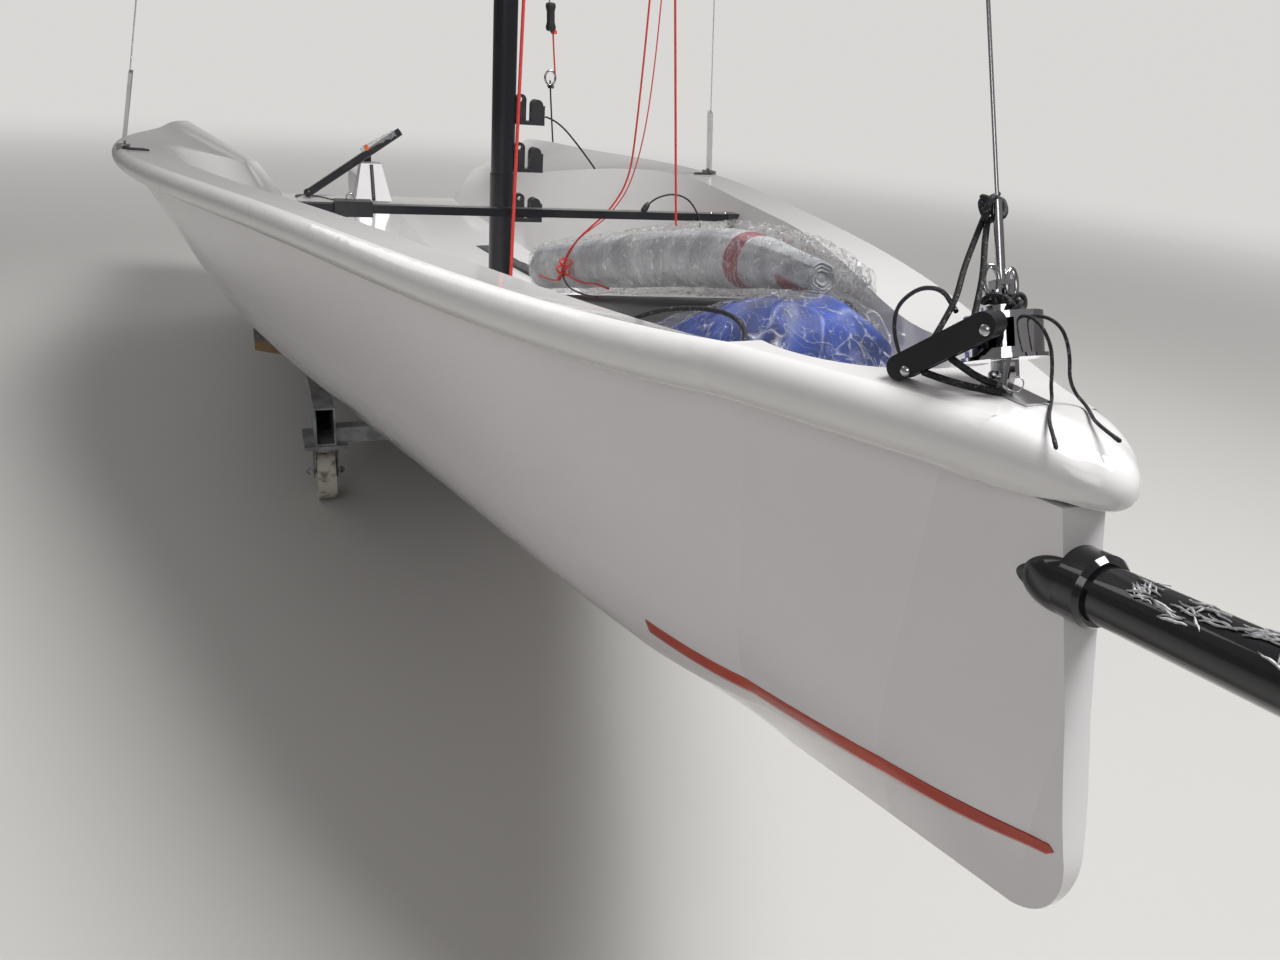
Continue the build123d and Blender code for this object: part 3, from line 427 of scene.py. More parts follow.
stripe_red = mottled("stripe_red", (0.52, 0.045, 0.012), (0.44, 0.035, 0.010), 12, 320, 0.10, 0.18, 0.00003,
                     coat=0.4)
for side, side_name in ((-1, "starboard"), (1, "port")):
    mesh = bmesh.new()
    columns = []
    for step in range(STRIPE_STEPS + 1):
        further = (STRIPE_LAST - STRIPE_FIRST) * step / STRIPE_STEPS
        x = STRIPE_FIRST + further
        low_z, high_z = (level + slope * further + bend * further ** 2
                         for level, slope, bend in (STRIPE_BOTTOM, STRIPE_TOP))
        middle_z, half_z = (low_z + high_z) / 2, (high_z - low_z) / 2
        run_left = STRIPE_LAST - x
        if run_left < half_z:
            half_z *= math.sqrt(max(1 - (1 - run_left / half_z) ** 2, 0.02))
        column = []
        for row in range(STRIPE_ROWS + 1):
            z = middle_z + half_z * (2 * row / STRIPE_ROWS - 1)
            hit = HULL_TREE.ray_cast(Vector((x, side * 1.2, z)), Vector((0, -side, 0)))[0]
            column.append(mesh.verts.new((x, hit.y + side * STRIPE_PROUD, z)))
        columns.append(column)
    for before, after in zip(columns, columns[1:]):
        for row in range(STRIPE_ROWS):
            mesh.faces.new((before[row], after[row], after[row + 1], before[row + 1]))
    stripe = put_piece(f"stripe_{side_name}", mesh, stripe_red)
    thick = stripe.modifiers.new("thickness", "SOLIDIFY")
    thick.thickness = STRIPE_PROUD * 0.8
    thick.offset = -1

# Deck moulding: the same white gelcoat, glossy on the gunwale and side decks. The nose is a round
# moulded bow that closes the two gunwales over the stem.
deck_gelcoat = mottled("gelcoat_deck", (0.82, 0.81, 0.80), (0.78, 0.77, 0.765), 3.0, 420, 0.09, 0.17,
                       0.00005, coat=0.45)
for node in ("deck", "board_case"):
    dress(node, deck_gelcoat)

NOSE_START, NOSE_SIDES, NOSE_STEPS = 2.118, 72, 36
NOSE_TIP, TIP_HEIGHT = 2.2045, 0.9130
NOSE_HEART = Vector((NOSE_START, 0, 0.920))
# How far the nose keeps the deck's direction, the blunt end's half breadth, rise and drop, and the
# half width of its last ring
NOSE_HOLD, TIP_BREADTH, TIP_RISE, TIP_DROP, TIP_POINT = 0.052, 0.021, 0.024, 0.016, 0.0004
# The deck's own slopes at the cut, and how soon its section turns into an oval
SIDE_SLOPE, TOP_SLOPE = -0.413, 0.03
ROUND_SOON, ROUND_BEND = 1.6, 1.5


def bow_curve(u, values):
    """A smooth bend through the moulding's outline, from four values that steer it."""
    a, b, c, d = values
    return (1 - u) ** 3 * a + 3 * (1 - u) ** 2 * u * b + 3 * (1 - u) * u ** 2 * c + u ** 3 * d


section = []
for side in range(NOSE_SIDES):
    angle = 2 * math.pi * side / NOSE_SIDES
    way = Vector((0, math.cos(angle), math.sin(angle)))
    hit = DECK_TREE.ray_cast(NOSE_HEART + way * 0.2, -way)[0]
    section.append((hit.y, hit.z))
start_breadth = max(y for y, z in section)
start_top, start_bottom = max(z for y, z in section), min(z for y, z in section)
mesh = bmesh.new()
rings = []
for step in range(NOSE_STEPS + 1):
    u = step / NOSE_STEPS
    x = bow_curve(u, (NOSE_START, NOSE_START + NOSE_HOLD, NOSE_TIP, NOSE_TIP))
    breadth = bow_curve(u, (start_breadth, start_breadth + SIDE_SLOPE * NOSE_HOLD, TIP_BREADTH, TIP_POINT))
    top = bow_curve(u, (start_top, start_top + TOP_SLOPE * NOSE_HOLD, TIP_HEIGHT + TIP_RISE,
                        TIP_HEIGHT + TIP_POINT))
    bottom = bow_curve(u, (start_bottom, start_bottom + TOP_SLOPE * NOSE_HOLD, TIP_HEIGHT - TIP_DROP,
                           TIP_HEIGHT - TIP_POINT))
    soft = min(u * ROUND_SOON, 1) ** ROUND_BEND
    ring = []
    for side, (y, z) in enumerate(section):
        angle = 2 * math.pi * side / NOSE_SIDES
        wide = (1 - soft) * y / start_breadth + soft * math.cos(angle)
        tall = ((1 - soft) * (z - (start_top + start_bottom) / 2) * 2 / (start_top - start_bottom)
                + soft * math.sin(angle))
        ring.append(mesh.verts.new((x, breadth * wide, (top + bottom) / 2 + (top - bottom) / 2 * tall)))
    rings.append(ring)
skin(mesh, rings)
nose = put_piece("bow_nose", mesh, deck_gelcoat, sharp=70)

# The rest of the deck is the CAD node's own mesh, cut where the nose begins, with its own shading.
CUT_GAP = 0.0006
deck_node = PARTS["deck"]
cut = bmesh.new()
cut.from_mesh(deck_node.data)
bmesh.ops.bisect_plane(cut, geom=cut.verts[:] + cut.edges[:] + cut.faces[:],
                       plane_co=(NOSE_START + CUT_GAP, 0, 0), plane_no=(1, 0, 0), clear_outer=True)
bmesh.ops.triangulate(cut, faces=cut.faces)
deck_data = bpy.data.meshes.new("deck_moulding")
cut.to_mesh(deck_data)
cut.free()
corner_normals = [tuple(corner.vector) for corner in deck_node.data.corner_normals]
kept_normals = []
for polygon in deck_data.polygons:
    face_number = DECK_TREE.find_nearest(polygon.center)[2]
    source = deck_node.data.polygons[face_number]
    places = [deck_node.data.vertices[vertex].co for vertex in source.vertices]
    normals = [Vector(corner_normals[loop]) for loop in source.loop_indices]
    for vertex in polygon.vertices:
        spot = deck_data.vertices[vertex].co
        shares = []
        for place, normal in zip(places, normals):
            shares.append((1 / ((spot - place).length + 1e-7), normal))
        total = sum(share for share, normal in shares)
        blend = sum(((share / total) * normal for share, normal in shares), Vector())
        kept_normals.append(blend.normalized())
for polygon in deck_data.polygons:
    polygon.use_smooth = True
deck_data.normals_split_custom_set(kept_normals)
deck_data.materials.append(deck_gelcoat)
moulding = bpy.data.objects.new("deck_moulding", deck_data)
bpy.context.scene.collection.objects.link(moulding)
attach(moulding, "boat")
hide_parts("deck")

# Rudder pod: moulded with the transom in the same gelcoat. A dark nylon guide strip with a raised
# middle runs down its forward face.
STRIP_WIDTH, STRIP_PROUD, STRIP_STEPS = 0.007, 0.0012, 12
POD_TOP_DEPTH, POD_MARGIN = 0.085, 0.004
pod_low, pod_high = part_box("rudder_pod")
black_nylon = mottled("black_nylon", (0.03, 0.03, 0.032), (0.018, 0.018, 0.02), 20, 900, 0.38, 0.55, 0.0002)
mesh = bmesh.new()
strip_rows = []
for step in range(STRIP_STEPS + 1):
    share = step / STRIP_STEPS
    x = pod_high[0] - (pod_high[0] - pod_low[0] - POD_TOP_DEPTH) * share + STRIP_PROUD
    z = pod_low[2] + POD_MARGIN + (pod_high[2] - pod_low[2] - POD_MARGIN * 2) * share
    strip_rows.append([mesh.verts.new((x + bulge, offset, z)) for offset, bulge in (
        (-STRIP_WIDTH, 0), (-STRIP_WIDTH * 0.5, 0.002), (STRIP_WIDTH * 0.5, 0.002), (STRIP_WIDTH, 0))])
for before, after in zip(strip_rows, strip_rows[1:]):
    for place in range(3):
        mesh.faces.new((before[place], before[place + 1], after[place + 1], after[place]))
guide = put_piece("pod_guide_strip", mesh, black_nylon)
thick = guide.modifiers.new("thickness", "SOLIDIFY")
thick.thickness = 0.0015

# Foils: gloss white laminate over foam. The centreboard is housed in its case, and the rudder's
# blade is lifted clear of the floor.
foil_paint = mottled("foil_white", (0.82, 0.82, 0.83), (0.77, 0.77, 0.79), 4.0, 300, 0.14, 0.24, 0.0001)
for node in ("centreboard", "rudder_blade"):
    dress(node, foil_paint)

# Spars: black anodised aluminium, satin and a little uneven in gloss where rope and film rub it.
# The mast, spreaders, boom, jib track, rudder stock and tiller all have it.
anodised = mottled("anodised_black", (0.020, 0.020, 0.023), (0.035, 0.035, 0.038), 9.0, 600, 0.24, 0.40,
                   0.0001, metallic=0.35, low=0.5, high=0.8)
for node in ("mast_lower", "mast_upper", "spreaders", "boom", "jib_track", "rudder_stock", "tiller"):
    dress(node, anodised)

# Mast base and cleats: the tube stands in a moulded step, and its lower part is a section with six
# raised edges beside its grooves. Three fairleads with cam cleats are screwed on facing forward.
for node in ("masthead", "mast_cleats", "boom_ends", "track_car", "mast_step"):
    dress(node, black_nylon)
mast_low, mast_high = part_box("mast_lower")
MAST_MIDDLE = ((mast_low[0] + mast_high[0]) / 2, (mast_low[1] + mast_high[1]) / 2)
RIB_WIDTH, RIB_PROUD, RIB_SUNK, RIB_FOOT = 0.0026, 0.0008, 0.97, 0.030
RIB_ANGLES = (-0.62, -0.35, 0.35, 0.62, math.pi - 0.5, math.pi + 0.5)
mesh = bmesh.new()
for angle in RIB_ANGLES:
    outward = Vector((math.cos(angle), math.sin(angle), 0))
    along = Vector((-math.sin(angle), math.cos(angle), 0))
    corners = []
    for height in (mast_low[2] + RIB_FOOT, mast_high[2]):
        middle = Vector((*MAST_MIDDLE, height))
        radius = (mast_high[1] - mast_low[1]) / 2
        proud = 1.0 + RIB_PROUD / radius
        corners.append([mesh.verts.new(middle + outward * (radius * push_out) + along * shift)
                        for push_out, shift in ((RIB_SUNK, -RIB_WIDTH / 2), (proud, -RIB_WIDTH / 3),
                                                (proud, RIB_WIDTH / 3), (RIB_SUNK, RIB_WIDTH / 2))])
    for place in range(4):
        mesh.faces.new((corners[0][place], corners[0][(place + 1) % 4], corners[1][(place + 1) % 4],
                        corners[1][place]))
    mesh.faces.new(list(reversed(corners[0])))
    mesh.faces.new(corners[1])
ribs = put_piece("mast_groove_edges", mesh, anodised)

# Running rigging beside the mast: red braid halyards held at the sole and at the sail roll, and a
# trapeze wire with its handle, ring and adjuster line. The black tail and the black shock cord
# under the ring hang free.
wire_grey = mottled("wire_rope", (0.42, 0.42, 0.43), (0.20, 0.20, 0.21), 300, 800, 0.25, 0.4, 0.0002,
                    metallic=0.9)
# Lines beside the mast, columns name, thickness, finish, route
MAST_LINES = [
    ("halyard_to_sole", 0.0068, red_braid, [
        (0.478, 0.070, 2.647), (0.560, 0.035, 1.95), (0.644, -0.004, 1.23), (0.690, -0.025, 0.84),
        (0.706, -0.031, 0.724), (0.732, -0.044, 0.470)]),
    ("halyard_to_mast_top", 0.0045, red_braid, [
        (0.520, 0.020, 4.330), (0.660, 0.092, 3.15), (0.795, 0.163, 2.0), (0.925, 0.232, 0.865)]),
    ("halyard_to_roll_a", 0.0045, red_braid, [
        (0.425, 0.352, 2.645), (0.447, 0.335, 1.60), (0.450, 0.331, 1.268), (0.450, 0.322, 1.0),
        (0.450, 0.313, 0.887), (0.448, 0.270, 0.815), (0.440, 0.230, 0.777), (0.425, 0.203, 0.744),
        (0.400, 0.184, 0.702), (0.384, 0.181, 0.668)]),
    ("halyard_to_roll_b", 0.0030, red_braid, [
        (0.430, 0.356, 2.645), (0.468, 0.352, 1.60), (0.478, 0.346, 1.100), (0.470, 0.318, 0.887),
        (0.462, 0.262, 0.802), (0.445, 0.220, 0.767), (0.420, 0.192, 0.730), (0.382, 0.180, 0.664)]),
    ("trapeze_wire", 0.0025, wire_grey, [(0.470, 0.030, 4.300), (0.466, 0.055, 3.0), (0.460, 0.100, 1.240)]),
    ("trapeze_line", 0.0035, red_braid, [
        (0.460, 0.110, 1.189), (0.460, 0.114, 1.145), (0.460, 0.119, 1.101)]),
    ("trapeze_tail", 0.0035, black_braid, [
        (0.460, 0.108, 1.090), (0.460, 0.113, 1.030), (0.460, 0.120, 0.963)]),
    ("trapeze_shock_cord", 0.0040, black_braid, [
        (0.460, 0.100, 1.015), (0.460, 0.127, 1.010), (0.460, 0.180, 0.960), (0.460, 0.223, 0.910)]),
]
for name, thickness, finish, route in MAST_LINES:
    rope_run(name, route, thickness, finish)
HANDLE_SLOPE = (0.0, 0.05, -1.0)
HANDLE_PROFILE = [(0.004, -0.028), (0.0095, -0.026), (0.011, -0.020), (0.0085, -0.010), (0.0085, 0.010),
                  (0.011, 0.020), (0.0095, 0.026), (0.004, 0.028)]
handle = lathe("trapeze_handle", HANDLE_PROFILE, (0.460, 0.104, 1.214), HANDLE_SLOPE, black_nylon)


def knot(name, centre, radius, thickness, finish, axis=(0, 0, 1), squeeze=0.6):
    """A pulled-up knot: one closed line of rope that goes over and under itself three times."""
    steps = 24
    turn_axis = Vector(axis).normalized().to_track_quat("Z", "Y").to_matrix()
    points = []
    for step in range(steps):
        angle = 2 * math.pi * step / steps
        shape = Vector((math.sin(angle) + 2 * math.sin(2 * angle), math.cos(angle) - 2 * math.cos(2 * angle),
                        -math.sin(3 * angle) * squeeze * 2)) / 3
        points.append(Vector(centre) + turn_axis @ (shape * radius))
    return rod(name, points, thickness, finish, 4, closed=True)


stainless = mottled("stainless", (0.60, 0.60, 0.61), (0.50, 0.50, 0.52), 30, 700, 0.10, 0.20, 0.0001,
                    metallic=1.0)


def ring_piece(name, centre, across, along, length, width, thickness, finish):
    """A closed bow of round rod: an oval that is length by width, in the plane of two directions."""
    steps = 12
    side_way, long_way = Vector(across).normalized(), Vector(along).normalized()
    points = []
    for step in range(steps):
        angle = 2 * math.pi * step / steps
        points.append(Vector(centre) + side_way * (width / 2 * math.cos(angle))
                      + long_way * (length / 2 * math.sin(angle)))
    return rod(name, points, thickness, finish, 6, closed=True)


ring_piece("trapeze_ring", (0.460, 0.108, 1.095), (0, 1, 0), (0, 0, 1), 0.030, 0.024, 0.0045, stainless)
knot("trapeze_line_knot", (0.460, 0.111, 1.186), 0.007, 0.0035, red_braid)
knot("trapeze_tail_knot", (0.460, 0.109, 1.078), 0.007, 0.0035, black_braid)
knot("halyard_sole_knot", (0.732, -0.044, 0.478), 0.012, 0.0060, red_braid)
EYE_PROFILE = [(0.016, 0), (0.017, 0.002), (0.009, 0.004), (0.007, 0.010), (0.004, 0.012)]
sole_eye = lathe("halyard_sole_eye", EYE_PROFILE, on_deck(0.732, -0.044, 0), (0, 0, 1), black_nylon)

# Standing rigging: stainless wire stays with swaged ends, chainplates bolted through the gunwale,
# and a black webbing pad where each adjuster lies on the side deck.
for node in ("chainplates", "gudgeons", "shroud_port", "shroud_starboard", "forestay", "deck_eye",
             "furler_toggle", "furler_swivel"):
    dress(node, stainless)
webbing = mottled("webbing", (0.035, 0.035, 0.038), (0.018, 0.018, 0.020), 60, 1500, 0.7, 0.9, 0.0006)
CHAINPLATE_X, CHAINPLATE_Y = -0.112, 0.772
PAD_SIZE, PAD_ROUND, PAD_LIFT = (0.058, 0.030, 0.005), 0.002, 0.002
for side, side_name in ((-1, "starboard"), (1, "port")):
    pad = bmesh.new()
    bmesh.ops.create_cube(pad, size=1)
    bmesh.ops.scale(pad, vec=PAD_SIZE, verts=pad.verts)
    bmesh.ops.bevel(pad, geom=pad.edges, offset=PAD_ROUND, segments=3, affect="EDGES")
    middle = Vector((CHAINPLATE_X, side * CHAINPLATE_Y, 1.2))
    hit = DECK_TREE.ray_cast(middle, Vector((0, 0, -1)))
    tilt = hit[1].to_track_quat("Z", "X").to_matrix().to_4x4()
    put = Matrix.Translation(hit[0] + hit[1] * PAD_LIFT) @ tilt
    bmesh.ops.transform(pad, matrix=put, verts=pad.verts)
    piece = put_piece(f"shroud_pad_{side_name}", pad, webbing)

# Furler: the stay's swivel is shackled over a chromed drum on a toggle pinned to the deck eye.
# A black anodised lead arm holds the line's sheave, and the line is doubled up to the stay and tied.
chrome = mottled("furler_chrome", (0.66, 0.66, 0.68), (0.58, 0.59, 0.62), 40, 600, 0.04, 0.09, 0.00004,
                 metallic=1.0)
dress("furler_drum", chrome)
dress("furler_arm", anodised)
# Furling line, columns name, thickness, route
FURLING_RUNS = [
    ("furling_line_left", 0.0048, [(2.014, -0.002, 1.062), (2.021, -0.012, 1.046), (2.031, -0.025, 1.026),
                                   (2.042, -0.035, 1.008), (2.046, -0.045, 0.992), (2.049, -0.055, 0.977)]),
    ("furling_line_right", 0.0048, [(2.019, -0.002, 1.059), (2.027, -0.008, 1.048), (2.041, -0.015, 1.028),
                                    (2.050, -0.022, 1.013), (2.059, -0.030, 0.995), (2.064, -0.035, 0.993)]),
    ("furling_line_foot_a", 0.0055, [(2.047, -0.056, 0.953), (2.056, -0.045, 0.950), (2.066, -0.035, 0.9485),
                                     (2.078, -0.021, 0.9475), (2.086, -0.010, 0.9475)]),
    ("furling_line_foot_b", 0.0055, [(2.057, -0.041, 0.966), (2.064, -0.032, 0.960), (2.071, -0.024, 0.955),
                                     (2.078, -0.012, 0.951)]),
]
for name, thickness, route in FURLING_RUNS:
    rope_run(name, route, thickness, black_braid)
STAY_WAY = Vector((-0.391, 0, 0.920))
# Lashings, columns name, place, radius, thickness, axis, squeeze
LASHINGS = [
    ("furling_lashing", (2.018, 0, 1.069), 0.0095, 0.0050, STAY_WAY, 1.2),
    ("furling_lashing_turns", (2.0165, -0.001, 1.0735), 0.0075, 0.0040, (1, 0.3, 0.4), 1.0),
    ("drum_lashing", (2.052, -0.004, 1.0085), 0.0125, 0.0042, (0.2, 0.1, 1), 0.7),
    ("drum_lashing_turns", (2.066, -0.003, 1.0095), 0.0095, 0.0040, (0.3, -0.2, 1), 0.7),
]
for name, place, radius, thickness, axis, squeeze in LASHINGS:
    knot(name, place, radius, thickness, black_braid, axis, squeeze)
for name, place, across in (("stay_shackle_left", (2.0445, -0.0085, 1.0205), (0.3, 1, 0)),
                            ("stay_shackle_right", (2.0475, 0.0085, 1.0185), (-0.3, 1, 0))):
    ring_piece(name, place, across, STAY_WAY, 0.024, 0.013, 0.0042, stainless)
rope_run("toggle_pin", [(2.0805, -0.0085, 0.9755), (2.0812, -0.0090, 0.964), (2.0825, -0.0095, 0.952),
                        (2.0845, -0.0095, 0.9495), (2.0905, -0.0075, 0.9490)], 0.0038, stainless)
ring_piece("toggle_split_ring", (2.0925, -0.0085, 0.9565), (0.8, 0.5, 0.1), (0, 0, 1), 0.0120, 0.0120,
           0.0009, stainless)
# Furler fastenings, columns name, place, direction, radius
FURLER_HEADS = [
    ("arm_head_bolt", (2.0892, -0.0451, 0.9968), (0.383, -0.924, 0.0), 0.0042),
    ("arm_tail_pin", (2.0395, -0.0658, 0.9512), (0.383, -0.924, 0.0), 0.0040),
    ("toggle_rivet", (2.0700, -0.0103, 0.9560), (0.0, -1.0, 0.0), 0.0032),
]
for name, place, way, radius in FURLER_HEADS:
    head = lathe(name, [(radius * 0.3, -0.002), (radius, -0.001), (radius, 0.0008), (radius * 0.75, 0.0019),
                        (radius * 0.3, 0.0024)], place, way, stainless, steps=20)

# Bow pole and its collar: a moulded collar and a carbon tube, both in deep gloss black.
# Torn packing film still clings to the tube in crumpled patches, drawn opaque white: the film itself with
# its highlights painted in.
gloss_black = mottled("gloss_black", (0.010, 0.010, 0.012), (0.008, 0.008, 0.009), 5, 400, 0.06, 0.12,
                      0.00005, coat=0.6)
for node in ("bowsprit", "bowsprit_collar"):
    dress(node, gloss_black)
pole_low, pole_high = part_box("bowsprit")
POLE_RADIUS = (pole_high[1] - pole_low[1]) / 2
POLE_START = Vector((pole_low[0], 0, pole_low[2] + POLE_RADIUS))
POLE_END = Vector((pole_high[0], 0, pole_high[2] - POLE_RADIUS))
POLE_WAY = (POLE_END - POLE_START).normalized()
# The strands' pale white is partly the film and partly its painted highlight.
pole_film = mottled("pole_film", (0.74, 0.74, 0.75), (0.40, 0.40, 0.41), 260, 700, 0.2, 0.5, 0.0006)
# Film wrinkles, columns distance from the pole's inner end, angle around the pole, size
FILM_PATCHES = [(0.209, 1.90, 1.6), (0.247, 2.10, 1.9), (0.297, 1.85, 2.2), (0.341, 2.10, 1.8),
                (0.420, 1.95, 2.0), (0.492, 2.25, 1.6), (0.560, 1.85, 1.8), (0.640, 2.10, 2.0),
                (0.735, 1.80, 1.8), (0.830, 2.05, 1.6), (0.300, -0.60, 1.6), (0.520, -0.90, 1.8),
                (0.700, 0.40, 2.0)]
# Each patch is a number of short raised strands, thin at their ends and highest in the middle
STRANDS, STRAND_STEPS, STRAND_HALF = 15, 6, 0.0009
EDGE_LIFT, RIDGE_LIFT = 0.0004, 0.0013
POLE_TURN = POLE_WAY.to_track_quat("Z", "Y").to_matrix()
mesh = bmesh.new()
for patch, (distance, angle, size) in enumerate(FILM_PATCHES):
    for strand in range(STRANDS):
        seed = Vector((patch * 3.7, strand * 1.9, 0.5))
        run_angle = angle + 0.95 * noise.noise(seed * 1.3)
        run_place = distance + 0.030 * size * noise.noise(seed * 2.1 + Vector((4, 0, 0)))
        heading = 3.0 * noise.noise(seed * 0.9 + Vector((0, 7, 0)))
        strip = []
        for step in range(STRAND_STEPS + 1):
            share = step / STRAND_STEPS - 0.5
            wander = 0.25 * noise.noise(seed + Vector((0, 0, share * 3)))
            around = run_angle + size * 0.22 * share * math.sin(heading) + wander * 0.4
            further = run_place + size * 0.0105 * share * math.cos(heading) + wander * 0.004
            half = STRAND_HALF * (1 - (2 * share) ** 2) + 0.0001
            row = []
            for shift, lift in ((-half, EDGE_LIFT), (0, RIDGE_LIFT), (half, EDGE_LIFT)):
                radius = POLE_RADIUS + lift
                turn_angle = around + shift * math.cos(heading) / POLE_RADIUS
                spot = Vector((radius * math.cos(turn_angle), radius * math.sin(turn_angle), 0))
                row.append(mesh.verts.new(POLE_START + POLE_WAY * (further - shift * math.sin(heading))
                                          + POLE_TURN @ spot))
            strip.append(row)
        for before, after in zip(strip, strip[1:]):
            for place in range(2):
                mesh.faces.new((before[place], before[place + 1], after[place + 1], after[place]))
wrinkles = put_piece("pole_film_wrinkles", mesh, pole_film, sharp=80)
thick = wrinkles.modifiers.new("thickness", "SOLIDIFY")
thick.thickness = 0.0003

# Jib track: a black rail across the boat on its brackets, with moulded ends, two screws a side,
# a sprung line that arches over it, and the sheet car's shackle under it.
TRACK_X, TRACK_TOP = 0.660, 0.8490
SCREW_PROFILE = [(0.0034, 0), (0.0042, 0.0006), (0.0030, 0.0018), (0.0010, 0.0021)]
# Outline of the rail's moulded end, columns distance from the boat's middle, height
CAP_PROFILE = [(0.468, 0.8320), (0.468, 0.8500), (0.492, 0.8510), (0.503, 0.8480), (0.5145, 0.8410),
               (0.5080, 0.8330), (0.4950, 0.8230), (0.4860, 0.8170), (0.4820, 0.8190), (0.4840, 0.8270),
               (0.4800, 0.8320)]
CAP_HALF = 0.0140
for side in (-1, 1):
    side_name = "port" if side > 0 else "starboard"
    for number, reach in enumerate((0.433, 0.467)):
        screw = lathe(f"track_screw_{side_name}_{number}", SCREW_PROFILE,
                      (TRACK_X, side * reach, TRACK_TOP), (0, 0, 1), stainless, steps=16)
    cap = bmesh.new()
    faces = []
    for offset in (-CAP_HALF, CAP_HALF):
        faces.append([cap.verts.new((TRACK_X + offset, side * reach, height))
                      for reach, height in CAP_PROFILE])
    cap.faces.new(faces[0])
    cap.faces.new(list(reversed(faces[1])))
    for place in range(len(CAP_PROFILE)):
        following = (place + 1) % len(CAP_PROFILE)
        cap.faces.new((faces[0][place], faces[0][following], faces[1][following], faces[1][place]))
    bmesh.ops.bevel(cap, geom=cap.edges, offset=0.0012, segments=2, affect="EDGES")
    piece = put_piece(f"track_end_{side_name}", cap, black_nylon)
rope_run("track_sprung_line", [
    (TRACK_X, 0.277, 0.8600), (TRACK_X, 0.285, 0.868), (TRACK_X, 0.303, 0.8800), (TRACK_X, 0.336, 0.8880),
    (TRACK_X, 0.368, 0.8810), (TRACK_X, 0.390, 0.8620), (TRACK_X + 0.018, 0.400, 0.8350),
    (TRACK_X + 0.020, 0.403, 0.8090)], 0.0038, black_braid)
CLIP_PROFILE = [(0.0030, -0.012), (0.0062, -0.010), (0.0068, 0.0), (0.0055, 0.008), (0.0028, 0.012)]
clip = lathe("track_clip", CLIP_PROFILE, (TRACK_X, 0.275, 0.8575), (0, 0.55, 0.85), black_nylon, steps=16)
rope_run("track_strut", [(TRACK_X, 0.484, 0.8200), (TRACK_X, 0.462, 0.8110), (TRACK_X, 0.438, 0.8020)],
         0.0030, wire_grey)
ring_piece("track_car_shackle", (TRACK_X, -0.3400, 0.8130), (0, 1, 0.3), (0.3, 0, 1), 0.0300, 0.0170,
           0.0036, stainless)
ring_piece("track_car_eye", (TRACK_X, -0.3400, 0.8600), (0, 1, 0), (0, 0, 1), 0.0160, 0.0140, 0.0030,
           stainless)

# Boom: it lies stowed on the foredeck with its gooseneck end forward. That end is moulded, and its
# two pin holes have metal rims.
BOOM_SLOPE = math.radians(13.52)
BOOM_WAY = Vector((math.cos(BOOM_SLOPE), -0.0314, math.sin(BOOM_SLOPE))).normalized()
BOOM_FRONT = Vector((1.610, 0.165, 0.862))
HOLE_OFFSET = Vector((0.004, -0.0265, 0.010))
RIM_PROFILE = [(0.0080, -0.0030), (0.0080, 0.0006), (0.0056, 0.0012), (0.0046, 0.0), (0.0040, -0.0020)]
for number, back in enumerate((0.010, 0.032)):
    spot = BOOM_FRONT - BOOM_WAY * back + HOLE_OFFSET
    rim = lathe(f"boom_end_hole_{number}", RIM_PROFILE, spot, (0.10, -0.95, 0.30), stainless, steps=20)

# Hiking straps: two runs of black webbing along the sole, each through a quilted grey pad sleeve,
# with a ladder buckle near the forward end. They lie slack, so their edges lift and twist a little.
STRAP_WIDTH, STRAP_THICK, STRAP_BASE = 0.050, 0.0030, 0.4400
SLEEVE_WIDTH, SLEEVE_THICK = 0.060, 0.0120
pad_grey = mottled("pad_grey", (0.085, 0.085, 0.090), (0.045, 0.045, 0.050), 70, 1300, 0.75, 0.95, 0.0008)
